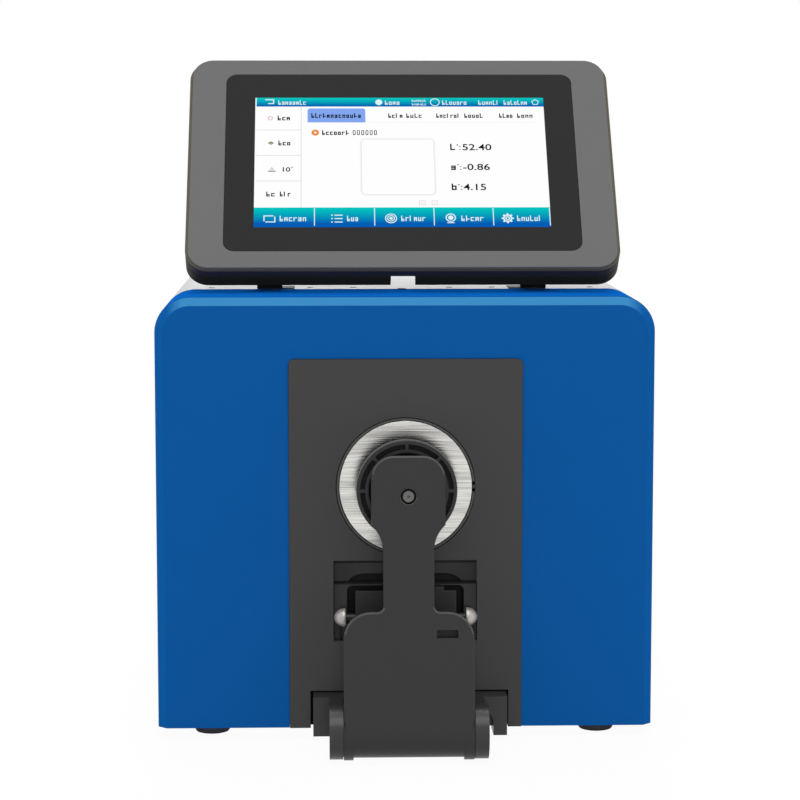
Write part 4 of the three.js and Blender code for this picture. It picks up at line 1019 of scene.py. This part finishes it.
@dataclass
class Clamp:
    """The hinge base, the spring, the arm and the pad."""

    axle: Span = (-48.0, 15.0)
    lean: float = 9.2
    pad_front: float = -20.0
    pad_height: float = 130.0
    pad_radius: float = 25.1
    pad_thickness: float = 8.0
    pad_bore: float = 3.3
    dish: Span = (8.0, 19.0)
    dish_depth: float = 2.2
    window: Span = (20.8, 23.3)
    windows: int = 8
    window_depth: float = 5.0
    spoke: float = 1.6
    cushion_radii: Span = (14.0, 24.0)
    cushion_gap: float = 0.3
    cushion_depth: float = 7.8
    washer: Span = (3.3, 12.2)
    washer_ends: Span = (31.94, 32.16)
    arm_face: float = -12.6
    lip: Span = (3.75, 4.2)
    screw_height: float = 115.0
    screw_radius: float = 2.9
    slot: tuple[Span, Span] = ((13.4, 24.0), (46.0, 50.2))
    flare: Span = (91.0, 104.6)
    flare_inner: float = 10.0
    flare_drop: float = 3.0
    shoulder_height: float = 45.0
    shoulder_turn: Span = (-0.93, -0.35)
    shoulder_rise: float = 0.22
    recess_radius: float = 3.5

    def sector(self, index: int) -> Form:
        """The cutter of one window of the pad.

        Args:
            index: Which window it is.

        Returns:
            The cutter.
        """
        inner, outer = self.window
        gap = self.spoke / ((inner + outer) / 2)
        step = 2 * math.pi / self.windows
        start, floor = self.pad_front - 4, self.pad_front + self.window_depth
        form = bmesh.new()
        corners = [(inner, start), (outer, start), (outer, floor), (inner, floor)]
        form.faces.new([form.verts.new((r, y, 0.0)) for r, y in corners])
        first = Matrix.Rotation(-(index * step + gap / 2), 3, "Y")
        bmesh.ops.rotate(form, cent=(0, 0, 0), matrix=first, verts=form.verts)
        bmesh.ops.spin(
            form, geom=[*form.verts, *form.edges, *form.faces], cent=(0, 0, 0), axis=(0, -1, 0),
            angle=step - gap, steps=14, use_merge=False, use_duplicate=False,
        )
        bmesh.ops.recalc_face_normals(form, faces=form.faces)
        bmesh.ops.translate(form, vec=(0, 0, self.pad_height), verts=form.verts)
        return form

    def drop_flare(self, form: Form, place: Matrix) -> None:
        """Sets the flare between the arm's neck and head a little lower.

        Args:
            form: The arm's mesh, in metres.
            place: Carries the arm's own frame into the row frame.
        """
        back = place.inverted()
        for vert in form.verts:
            at = back @ vert.co
            if self.flare[0] < at.z < self.flare[1] and abs(at.x) > self.flare_inner:
                at.z -= self.flare_drop
                vert.co = place @ at

    def carrier(self) -> Form:
        """The round pad carrier with its windows and dished middle."""
        front, radius, bore = self.pad_front, self.pad_radius, self.pad_bore
        back = front + self.pad_thickness
        hub, wide = self.dish
        floor = front + self.dish_depth
        profile = [
            (bore, back), (radius - 0.5, back), (radius, back - 0.5), (radius, front + 0.6),
            (radius - 0.18, front + 0.18), (radius - 0.6, front), (wide + 0.3, front),
            (wide, front + 0.3), (wide, floor), (hub, floor), (hub, front), (bore, front),
        ]
        form = turned(Axis.Y, profile, (0, 0, self.pad_height), 128)
        return combined(form, [self.sector(i) for i in range(self.windows)])

    def cushion(self) -> Form:
        """The rubber ring that meets the sample, with rounded lips."""
        start = self.pad_front + self.pad_thickness + self.cushion_gap
        end = start + self.cushion_depth
        inner, outer = self.cushion_radii
        profile = [
            (inner, start), (outer, start), (outer, end - 1.2), (outer - 0.35, end - 0.35),
            (outer - 1.2, end), (inner + 1.2, end), (inner + 0.35, end - 0.35), (inner, end - 1.2),
        ]
        return turned(Axis.Y, profile, (0, 0, self.pad_height), 96)

    def screw(self) -> Form:
        """The arm's cross-head screw, in the arm's own frame."""
        front = self.arm_face + 0.3
        radius = self.screw_radius
        profile = [
            (0, front + 1.6), (radius, front + 1.6), (radius, front + 0.35), (radius - 0.3, front),
            (0, front),
        ]
        form = turned(Axis.Y, profile, (0, 0, self.screw_height), 48)
        cross = [
            block(span(0, w), (front - 2, front + 1.2), span(self.screw_height, h))
            for w, h in ((0.6, 1.7), (1.7, 0.6))
        ]
        return combined(form, cross)

    def screw_lip(self) -> Form:
        """The low rim round the screw's recess, sloped inwards."""
        foot = self.arm_face + 0.1
        profile = [(self.lip[0], foot), (self.lip[1], self.arm_face - 0.22), (self.lip[1], foot)]
        return turned(Axis.Y, profile, (0, 0, self.screw_height))

    def build_pad(self, bench: Bench) -> None:
        """Builds the pad's pieces."""
        pad = bench.add("pad_spoked", self.carrier(), "black_arm", ["pad_carrier"], Body.PAD)
        # The dish floor of the pad is painted near-black as shade.
        dish = row_y(self.pad_front + 2)
        bench.region(pad, "gap_painted_shade", lambda p: p.normal.y < -FACING and dish < p.center.y < dish + MM)
        # The floors of the pad's windows are painted dark as shade.
        floor = row_y(self.pad_front + self.window_depth)
        bench.region(pad, "pocket_painted_shade", lambda p: abs(p.center.y - floor) < 0.3 * MM)
        # The rubber ring is painted near-black rather than rubber grey, as shade seen through the
        # pad's windows.
        bench.add("pad_ring", self.cushion(), "gap_painted_shade", ["pad_cushion"], Body.PAD, slot="rubber")
        bench.dress("steel", "pad_ball")

    def build_arm(self, bench: Bench) -> None:
        """Builds the arm's pieces."""
        place = tilted(*self.axle, self.lean)
        bench.add(
            "arm_screw_cross", self.screw(), "screw_grey", ["arm_screw"], Body.ARM, place, "steel",
        )
        lip = bench.add("arm_screw_lip", self.screw_lip(), "black_arm", (), Body.ARM, place)
        screw = place @ Vector((0.0, self.arm_face, self.screw_height))
        # The lower, upward-facing half of the lip is painted lighter, as a highlight.
        bench.region(lip, "edge_painted_highlight", lambda p: p.normal.z > 0.2 and p.center.z < screw.z)
        arm = bench.soften(
            "clamp_arm", "black_arm", 0.2, body=Body.ARM,
            reshape=lambda form: self.drop_flare(form, place),
        )
        back = place.inverted()
        across, up = self.slot

        def in_slot(face: Face) -> bool:
            """Whether a face is a wall of the arm's slot, which is painted near-black as shade."""
            at = back @ face.center
            return across[0] < at.x < across[1] and up[0] < at.z < up[1]

        def on_shoulder(face: Face) -> bool:
            """Whether a face is a rounded front edge of the arm that looks up and gets a painted
            highlight.
            """
            steep, flat = self.shoulder_turn
            above = face.center.z > self.shoulder_height * MM
            return above and steep < face.normal.y < flat and face.normal.z > self.shoulder_rise

        def in_recess(face: Face) -> bool:
            """Whether a face is the floor round the screw, which is painted near-black as shade."""
            near = (face.center - screw).xz.length < self.recess_radius * MM
            return near and face.normal.y < -FACING

        # The shoulders get a painted highlight, and the screw's recess and the slot painted shade.
        bench.region(arm, "edge_painted_highlight", on_shoulder)
        bench.region(arm, "gap_painted_shade", in_recess)
        bench.region(arm, "gap_painted_shade", in_slot)
        bench.soften("arm_cover", "black_plate", 0.25, body=Body.ARM)

    def build(self, bench: Bench) -> None:
        """Builds the clamp's pieces."""
        self.build_pad(bench)
        self.build_arm(bench)
        bench.soften("hinge_base", "black_hinge", 0.4, slot="black_plate")
        for side, name in ((-1, "left"), (1, "right")):
            ends = sorted(side * end for end in self.washer_ends)
            ring = tube(self.washer, ends, (0, *self.axle), axis=Axis.X)
            bench.add("washer_" + name, ring, "black_hinge", slot="black_plate")
        bench.dress("steel", "hinge_axle", "closing_spring", "base_screw")


@dataclass
class Display:
    """The tilted touch display in its own frame: y = 0 is its face, z runs up it."""

    y: float = 73.4
    z: float = 291.4
    lean: float = 38.9
    width: float = 221.5
    height: float = 137.4
    rise: float = 0.35
    radius: float = 11.0
    wing: float = 1.45
    wing_radius: float = 12.3
    notch: Span = (12.7, 14.0)
    flange: tuple[float, float, float] = (225.7, 226.6, 225.55)
    glass: Span = (185.0, 116.8)
    glass_rise: float = 0.47
    glass_radius: float = 5.7
    face_thickness: float = 1.2
    picture_edge: float = 8.0
    picture_depths: tuple[Span, Span] = ((1.5, 4.7), (0.03, 3.0))
    frame_depths: Span = (1.5, 3.7)
    shell_depths: Span = (4.0, 8.2)
    shell_floor: float = 6.2
    stand_depths: Span = (8.5, 16.0)

    def place(self) -> Matrix:
        """Carries the display's own frame into the row frame."""
        return tilted(self.y, self.z, self.lean)

    def layer(self, y: Span, rim: float) -> Form:
        """A full layer of the housing behind the face, which is a little wider than it."""
        wide = self.width + 2 * self.wing
        return slab(wide, self.height, y, self.wing_radius, (0, self.rise), rim, 16)

    def glass_slab(self, y: Span, gap: float, rim: float) -> Form:
        """A plate of the glass's outline, larger by a gap all round."""
        width, height = (size + 2 * gap for size in self.glass)
        return slab(width, height, y, self.glass_radius + gap, (0, self.glass_rise), rim)

    def panel(self) -> Form:
        """The grey face with the opening for the glass."""
        y = (0, self.face_thickness)
        face = slab(self.width, self.height, y, self.radius, (0, self.rise), 0.35, 16)
        return combined(face, [self.glass_slab((-PAST, PAST), 0.25, 0)])

    def cover(self) -> Form:
        """The cover glass, printed dark round the picture."""
        hole = block(span(0, PICTURE[0]), (-PAST, PAST), span(0, PICTURE[1]))
        return combined(self.glass_slab((0, self.face_thickness), 0, 0.15), [hole])

    def lit(self) -> Form:
        """The picture panel, which fills the window of the glass."""
        body, face = (
            block(span(0, PICTURE[0] + grow), y, span(0, PICTURE[1] + grow))
            for grow, y in zip((self.picture_edge, -0.02), self.picture_depths)
        )
        return combined(body, [face], "UNION")

    def shell(self) -> Form:
        """The dark shell behind the frame, hollow in front."""
        y = (-PAST, self.shell_floor)
        hollow = slab(self.width - 4, self.height - 4, y, 13, (0, self.rise))
        return combined(self.layer(self.shell_depths, 0.3), [hollow])

    def back_frame(self) -> Form:
        """The dark frame behind the face."""
        width, height = (size + self.picture_edge + 0.6 for size in PICTURE)
        hole = slab(width, height, (-PAST, PAST), 2, segments=4)
        return combined(self.layer(self.frame_depths, 0.25), [hole])

    def thin_flange(self, form: Form) -> None:
        """Thins the flange of a leg on the casing's top.

        Args:
            form: The leg's mesh, in metres.
        """
        low, high, thin = (v * MM for v in self.flange)
        for vert in form.verts:
            if low < vert.co.z < high:
                vert.co.z = thin

    def stand(self) -> Form:
        """The stand plate of the CAD, widened to the layers before it."""
        form = merged("stand_plate")
        bmesh.ops.transform(form, matrix=self.place().inverted(), verts=form.verts)
        low = self.rise - self.height / 2
        through = (0, 20)
        cuts = [
            slab(self.width - 6, self.height - 6, through, 12, (0, self.rise)),
            block(span(0, self.notch[0]), through, (low - PAST, low + self.notch[1])),
        ]
        whole = combined(form, [combined(self.layer(self.stand_depths, 0), cuts)], "UNION")
        round_edges(whole, is_crease, 0.35)
        return whole

    def build(self, bench: Bench) -> None:
        """Builds the display's pieces."""
        pieces = [
            bench.add(name, form, finish, [node], Body.DISPLAY, self.place())
            for name, form, finish, node in (
                ("face_grey", self.panel(), "display_grey", "display_panel"),
                ("face_frame", self.back_frame(), "display_dark", "display_frame"),
                ("glass_cover", self.cover(), "display_glass", "display_glass"),
                ("picture_lit", self.lit(), "picture", "display_picture"),
                ("shell_dark", self.shell(), "display_shell", "display_shell"),
                ("stand_dark", self.stand(), "display_black", "stand_plate"),
            )
        ]
        bench.region(pieces[-1], "black_back", lambda p: p.normal.y > 0.1)
        for side in ("left", "right"):
            bench.soften(
                "display_leg_" + side, "black_back", slot="display_black",
                reshape=self.thin_flange,
            )
            bench.dress("steel", "display_pin_" + side)


@dataclass
class Picture:
    """The lit user interface: bars, tabs, readouts, plain symbols and greeked words.

    Places on it are counted from the picture's left and top edges. Each ink is one piece, and
    its layer says how many inks it lies over.
    """

    display: Display
    face: float = 0.03
    ink: float = 0.05
    key_height: float = 80.3
    header_height: float = 3.1
    fine_stroke: float = 0.15  # share of a tall letter's height, for white ink
    stroke: float = 0.19  # the same for other inks
    low_letter: float = 0.2  # how far a low letter rises above its middle, as a share
    pitch: float = 0.66  # step from letter to letter, as a share
    letter_width: float = 0.74  # share of that step
    figure_height: float = 0.72  # share of the font's size
    figure_stretch: float = 1.22
    figure_weight: float = 0.07
    seeds: tuple[int, int] = (11, 5)
    dice: random.Random = field(default_factory=random.Random)
    forms: dict[str, list[Form]] = field(default_factory=dict)

    def lay(self, ink: str, form: Form) -> None:
        """Adds a form to an ink."""
        self.forms.setdefault(ink, []).append(form)

    def thickness(self, layer: int) -> Span:
        """Front and back of a layer."""
        return (self.face - layer * self.ink, self.face + 0.02)

    def boxes(
        self, ink: str, layer: int, radius: float, *places: tuple[Span, Span],
    ) -> None:
        """Lays thin plates on the picture.

        Args:
            ink: The name of their ink.
            layer: How many inks they lie over.
            radius: Radius of their corners, or 0.
            *places: The ends of each from the left edge and from the top edge.
        """
        y = self.thickness(layer)
        for across, down in places:
            x = (across[0] - PICTURE[0] / 2, across[1] - PICTURE[0] / 2)
            z = (PICTURE[1] / 2 - down[1], PICTURE[1] / 2 - down[0])
            if radius:
                middle = (sum(x) / 2, sum(z) / 2)
                self.lay(ink, slab(x[1] - x[0], z[1] - z[0], y, radius, middle, 0, 5))
            else:
                self.lay(ink, block(x, y, z))

    def rings(self, ink: str, layer: int, *rings: tuple[float, float, float, float, int]) -> None:
        """Lays thin rings and discs on the picture.

        Args:
            ink: The name of their ink.
            layer: How many inks they lie over.
            *rings: Place across and down, outer and inner radius, and sides of each.
        """
        for across, down, outer, inner, sides in rings:
            middle = (across - PICTURE[0] / 2, 0, PICTURE[1] / 2 - down)
            self.lay(ink, tube((inner, outer), self.thickness(layer), middle, sides))

    def letter(
        self, ink: str, layer: int, across: Span, middle: float, height: float, shape: str,
    ) -> None:
        """Lays the bars of one made-up letter.

        Args:
            ink: The name of its ink.
            layer: How many inks it lies over.
            across: Its ends from the left edge.
            middle: Its middle from the top edge.
            height: Height of a tall letter.
            shape: Its bars: l, r, t, m and b for left, right, top, middle and bottom, T for tall.
        """
        thin = height * (self.fine_stroke if ink == "white" else self.stroke)
        left, right = across
        foot = middle + height / 2
        low = middle - height * self.low_letter
        bars = {
            "l": ((left, left + thin), (low, foot)),
            "r": ((right - thin, right), (low, foot)),
            "t": (across, (low, low + thin)),
            "m": (across, span((low + foot) / 2, thin)),
            "b": (across, (foot - thin, foot)),
            "T": ((left, left + thin), (middle - height / 2, foot)),
        }
        self.boxes(ink, layer, 0, *(bars[bar] for bar in shape))

    def words(
        self, ink: str, layer: int, middle: float, height: float, *places: Span,
    ) -> None:
        """Greeks words as rows of made-up letters.

        Args:
            ink: The name of their ink.
            layer: How many inks they lie over.
            middle: Their middle from the top edge.
            height: Height of a tall letter.
            *places: The ends of each word from the left edge.
        """
        shapes = ("lrt", "lrb", "lrtb", "ltb", "lt", "Tm", "T", "tmbr", "lrtm", "Tb")
        for start, end in places:
            count = max(2, round((end - start) / (height * self.pitch)))
            step = (end - start) / count
            for i in range(count):
                shape = "Tbm" if i == 0 else self.dice.choice(shapes)
                left = start + i * step
                across = (left, left + step * self.letter_width)
                self.letter(ink, layer, across, middle, height, shape)

    def number(self, text: str, across: float, down: float, height: float) -> None:
        """Sets plain figures.

        Args:
            text: The figures.
            across: Their left end from the left edge.
            down: Their middle from the top edge.
            height: Their height.
        """
        curve = bpy.data.curves.new("figures", "FONT")
        curve.body = text
        curve.size = height / self.figure_height
        curve.extrude = self.ink / 2
        curve.resolution_u = 3
        curve.offset = self.figure_weight
        thing = linked("figures", curve)
        graph = bpy.context.evaluated_depsgraph_get()
        mesh = bpy.data.meshes.new_from_object(thing.evaluated_get(graph))
        form = bmesh.new()
        form.from_mesh(mesh)
        bpy.data.objects.remove(thing)
        bpy.data.curves.remove(curve)
        bpy.data.meshes.remove(mesh)
        bmesh.ops.remove_doubles(form, verts=form.verts, dist=1e-5)
        bmesh.ops.scale(form, vec=(self.figure_stretch, 1.0, 1.0), verts=form.verts)
        upright = Matrix.Rotation(math.pi / 2, 3, "X")
        bmesh.ops.rotate(form, cent=(0, 0, 0), matrix=upright, verts=form.verts)
        z = PICTURE[1] / 2 - down - height / 2
        at = (across - PICTURE[0] / 2, self.face - self.ink / 2, z)
        bmesh.ops.translate(form, vec=at, verts=form.verts)
        self.lay("figures", form)

    def header(self) -> None:
        """The bar at the top with its words and symbols."""
        self.boxes("header", 1, 0, ((0.6, PICTURE[0]), (0, 6.0)))
        self.boxes("keys", 1, 0, ((0, PICTURE[0]), (73.2, PICTURE[1])))
        for x in (31.4, 62.6, 93.5, 124.3, 153.7):
            self.boxes("white", 2, 0, (span(x, 0.48), (73.6, 84.9)))
        self.words(
            "white", 2, 3.3, 3.0,
            (12.2, 27.4), (69.2, 77.4), (99.8, 113.3), (119.2, 130.9), (132.8, 145.7),
        )
        for down in (1.9, 4.4):
            self.words("white", 2, down, 1.6, (83.6, 91.5))
        hook = (((5.2, 10.0), (1.1, 1.7)), ((9.4, 10.0), (1.1, 4.2)), ((6.8, 10.0), (3.7, 4.3)))
        self.boxes("white", 2, 0, *hook)
        down = self.header_height
        self.rings(
            "white", 2, (65.9, down, 1.9, 0, 32), (95.9, down, 2.6, 2.15, 32),
            (149.7, down, 2.1, 1.6, 5),
        )

    def keys(self) -> None:
        """The words and symbols on the row of keys."""
        down = self.key_height
        self.words(
            "white", 2, down, 3.5,
            (13.4, 27.7), (48.3, 54.5), (76.4, 89.5), (107.6, 119.7), (136.6, 150.1),
        )
        self.boxes("white", 2, 0.29, ((5.0, 10.3), (78.3, 78.9)), ((5.9, 11.2), (82.2, 82.8)))
        self.boxes("white", 2, 0, ((5.0, 5.6), (78.4, 82.0)), ((10.6, 11.2), (79.1, 82.7)))
        for line in (78.2, 80.4, 82.6):
            self.boxes("white", 2, 0, ((40.1, 40.9), span(line, 0.7)), ((41.8, 46.0), span(line, 0.6)))
        self.boxes("white", 2, 0, ((100.2, 104.0), (82.9, 83.4)))
        self.rings(
            "white", 2,
            (71.1, down, 3.1, 2.6, 32), (71.1, down, 2.0, 1.5, 32), (71.1, down, 0.9, 0, 32),
            (102.1, 79.9, 2.7, 2.1, 32), (102.1, 79.9, 1.4, 0, 32),
            (131.7, down, 2.4, 1.6, 32), (131.7, down, 1.2, 0.6, 32),
        )
        for i in range(8):
            turn = i * math.pi / 4
            tooth = (131.7 + 2.7 * math.sin(turn), down + 2.7 * math.cos(turn), 0.55, 0, 8)
            self.rings("white", 2, tooth)

    def tabs(self) -> None:
        """The rules, the tabs and the line with the swatch's name."""
        self.boxes("rule", 1, 0, ((24.3, 24.6), (6.6, 73.2)))
        for down in (21.9, 38.9, 55.9):
            self.boxes("rule", 1, 0, ((0.6, 24.3), span(down, 0.28)))
        self.boxes("rule_faint", 1, 0, ((27.5, 150.5), (16.75, 16.95)))
        self.boxes("tab", 1, 1.4, ((27.8, 58.6), (7.3, 16.8)))
        self.boxes("tab", 1, 0, ((27.8, 58.6), (14.0, 16.8)))
        self.words("text", 2, 12.2, 3.2, (29.8, 56.7))
        self.words(
            "text", 1, 12.2, 3.0, (70.8, 78.9), (80.4, 89.2), (96.4, 109.6),
            (111.4, 121.7), (130.0, 137.6), (139.6, 148.4),
        )
        line = 23.7
        self.rings("orange", 1, (31.9, line, 2.0, 0, 32))
        self.rings("screen", 2, (31.9, line, 0.7, 0, 32))
        self.words("text", 1, line, 3.2, (35.5, 50.2))
        for i in range(6):
            left = 51.8 + i * 2.25
            self.boxes("text", 1, 0.55, ((left, left + 1.5), span(line, 3.2)))
            self.boxes("screen", 2, 0.3, ((left + 0.4, left + 1.1), span(line, 2.3)))

    def page(self) -> None:
        """The swatch card, the readouts and the column of cells."""
        for name, layer, grow in (("shade_faint", 1, 1.1), ("shade", 2, 0.55), ("screen", 3, 0)):
            card = ((56.4 - grow, 94.3 + grow), (28.5 - grow, 64.6 + grow))
            self.boxes(name, layer, 2.2 + grow if grow else 2.0, card)
        for x in (85.9, 92.5):
            self.boxes("rule", 1, 0, ((x, x + 3.3), (68.7, 71.6)))
            self.boxes("screen", 2, 0, ((x + 0.3, x + 3.0), (69.0, 71.3)))
            self.boxes("rule", 3, 0, ((x + 0.9, x + 2.4), (70.0, 70.3)))
        for shape, figures, down in (
            ("Tb", "52.40", 33.4), ("mrtb", "-0.86", 46.6), ("Trtb", "4.15", 59.8),
        ):
            self.number(figures, 109.4, down, 4.2)
            self.letter("figures", 1, (103.2, 105.8), down, 4.2, shape)
            self.rings(
                "figures", 1, (107.0, down - 1.4, 0.42, 0, 8),
                (108.4, down - 0.3, 0.36, 0, 10), (108.4, down + 1.7, 0.36, 0, 10),
            )
        self.words("text", 1, 13.8, 3.2, (11.9, 19.1))
        self.words("text", 1, 30.7, 3.2, (12.4, 19.3))
        self.words("text", 1, 64.4, 3.2, (6.3, 11.4), (13.4, 19.5))
        self.number("10", 13.9, 48.2, 2.9)
        self.rings(
            "text", 1, (19.6, 46.9, 0.5, 0.3, 16), (8.5, 30.7, 1.0, 0.6, 24),
            (9.1, 48.0, 1.2, 0.85, 3),
        )
        self.rings("rose", 1, (8.0, 14.0, 1.5, 1.15, 5))
        self.rings("olive", 2, (8.5, 30.7, 0.45, 0, 16))
        self.boxes(
            "text", 1, 0, ((6.8, 7.5), (30.5, 30.9)), ((9.5, 10.2), (30.5, 30.9)),
            ((7.1, 11.1), (49.2, 49.7)),
        )

    def fading(self, ink: str, top: Colour, low: Colour, ends: Span) -> None:
        """Adds the finish of a bar whose colour changes down the picture.

        Args:
            ink: The name of its ink.
            top: The colour at the top.
            low: The colour at the bottom.
            ends: Where the change starts and ends, from the top edge.
        """
        upright = math.cos(math.radians(self.display.lean))
        heights = [(self.display.z + (PICTURE[1] / 2 - end) * upright) * MM for end in ends]
        name = "ink_" + ink
        FINISHES[name] = Lit(name, top, 0.3, lower=low, heights=(heights[0], heights[1]))

    def build(self, bench: Bench) -> None:
        """Builds one piece for each ink."""
        self.dice.seed(self.seeds[0])
        self.header()
        self.keys()
        self.dice.seed(self.seeds[1])
        self.tabs()
        self.page()
        self.fading("header", (1, 199, 193), (0, 92, 176), (0.5, 5.6))
        self.fading("keys", (1, 198, 193), (0, 92, 181), (73.6, 83.5))
        at = self.display.place()
        for ink, forms in self.forms.items():
            whole = bmesh.new()
            for form in forms:
                mesh = as_mesh("ink", form)
                whole.from_mesh(mesh)
                bpy.data.meshes.remove(mesh)
            bench.add("picture_" + ink, whole, "ink_" + ink, (), Body.DISPLAY, at, "picture")


@dataclass
class Fittings:
    """The small screws on top, the rear sockets and the parts inside."""

    screws: tuple[float, ...] = (25.5, 48.0, 100.0)
    screw_y: float = 73.0

    def top_screw(self, x: float) -> Form:
        """A low screw head with a cross recess.

        Args:
            x: Its middle on X.

        Returns:
            The screw.
        """
        top = CASING_TOP
        profile = [
            (0, top - 2.4), (1, top - 2.4), (1, top + 0.02), (1.6, top + 0.02), (1.6, top + 0.25),
            (1.45, top + 0.42), (1.1, top + 0.5), (0, top + 0.5),
        ]
        form = turned(Axis.Z, profile, (x, self.screw_y, 0), 32)
        cross = [
            block(span(x, w), span(self.screw_y, d), (top + 0.2, top + 2))
            for w, d in ((0.4, 1.6), (1.6, 0.4))
        ]
        return combined(form, cross)

    def build(self, bench: Bench) -> None:
        """Builds the fittings."""
        places = [side * offset for offset in self.screws for side in (-1, 1)]
        for index, x in enumerate(places, 1):
            node = f"top_screw_{index}"
            bench.add(node + "_cross", self.top_screw(x), "steel", [node])
        for node, body in (
            ("power_inlet", Body.CASING), ("switch_frame", Body.CASING),
            ("power_rocker", Body.ROCKER),
        ):
            bench.soften(node, "black_back", 0.25, body=body, slot="display_black")
        for node in ("usb_host_port", "usb_device_port", "serial_port"):
            bench.soften(node, "steel", 0.12)
        bench.dress("sphere_white", "sphere_front_half", "sphere_rear_half")
        bench.dress("sheet", "sphere_cradle", "lamp_module", "power_supply")
        bench.dress("black_plate", "spectrometer_module")
        bench.dress("board_green", "main_board")


# Stage


@dataclass
class Studio:
    """The white floor, the soft lights and the camera at the photo's angle."""

    camera_at: tuple[float, float, float] = (-0.0415, -1.3825, 0.3136)
    pitch: float = 6.451
    yaw: float = 1.784
    focal: float = 111.87
    sensor: float = 36.0
    ambient: float = 0.41
    suns: tuple[tuple[str, float, float, float], ...] = (
        ("key_above_front", 1.25, 60.0, 36.0),
        ("top_soft", 0.5, 104.0, 40.0),
        ("fill_front", 1.02, 9.0, 16.0),
        ("rear_low", 1.3, 142.0, 20.0),
        ("gloss_top", 1.25, 110.0, 14.0),
    )
    floor_radius: float = 40.0
    floor_glow: float = 0.95
    floor_bounce: Colour = (222, 222, 222)

    def camera(self) -> None:
        """Stands the camera where the photo was taken from."""
        data = bpy.data.cameras.new("photo_camera")
        data.lens = self.focal
        data.sensor_width = self.sensor
        data.clip_end = 50.0
        thing = linked("photo_camera", data)
        thing.location = self.camera_at
        thing.rotation_euler = (math.radians(90 - self.pitch), 0.0, math.radians(-self.yaw))
        bpy.context.scene.camera = thing

    def lamps(self) -> None:
        """Hangs the soft lights, each with its energy, elevation above the front and spread."""
        for name, energy, elevation, spread in self.suns:
            data = bpy.data.lights.new(name, "SUN")
            data.energy = energy
            data.angle = math.radians(spread)
            thing = linked(name, data)
            thing.rotation_euler = (math.radians(90 - elevation), 0.0, 0.0)
            thing.visible_glossy = name != "fill_front"
            thing.visible_diffuse = name != "gloss_top"

    @staticmethod
    def seen(graph: Graph) -> Wire:
        """1 for a ray from the camera, a reflection or a view through glass, and 0 otherwise."""
        camera, glossy, glass = (
            graph.wire("ShaderNodeLightPath", output=f"Is {ray} Ray")
            for ray in ("Camera", "Glossy", "Transmission")
        )
        return camera.math("MAXIMUM", glossy).math("MAXIMUM", glass)

    def sky(self) -> None:
        """A world that is white to look at and softer as light."""
        world = bpy.data.worlds.new("studio")
        graph = Graph(world)
        strength = self.seen(graph) * (1.0 - self.ambient) + self.ambient
        graph.close(graph.wire("ShaderNodeBackground", {"Color": WHITE, "Strength": strength}))
        bpy.context.scene.world = world

    def floor(self) -> None:
        """A wide floor that looks white, keeps a soft shadow and throws little light back."""
        form = bmesh.new()
        bmesh.ops.create_circle(form, cap_ends=True, segments=96, radius=self.floor_radius)
        mesh = as_mesh("floor", form)
        graph = Graph(bpy.data.materials.new("floor_white"))
        seen = self.seen(graph)
        pale = graph.mix(graph.noise(3.0), linear((240, 240, 240)), linear((246, 246, 246)))
        plain = graph.wire("ShaderNodeBsdfPrincipled", {
            "Base Color": graph.mix(seen, linear(self.floor_bounce), pale),
            "Roughness": 0.9, "Specular IOR Level": 0.0,
        })
        glow = graph.wire("ShaderNodeEmission", {"Color": WHITE, "Strength": 1.0})
        blend = graph.wire("ShaderNodeMixShader", [seen * self.floor_glow, plain, glow])
        mesh.materials.append(graph.close(blend))
        linked("floor", mesh)

    def build(self) -> None:
        """Sets the stage."""
        bpy.context.scene.view_settings.view_transform = "Standard"
        self.camera()
        self.sky()
        self.floor()
        self.lamps()
        log.info("stage set")


def main() -> None:
    """Builds the instrument's pieces and the stage in order."""
    logging.basicConfig(level=logging.INFO, format="%(message)s")
    Studio().build()
    bench = Bench()
    display = Display()
    for assembly in (Casing(), Aperture(), Clamp(), display, Picture(display), Fittings()):
        assembly.build(bench)
    log.info("%d pieces made", bench.count)


if __name__ == "__main__":
    main()
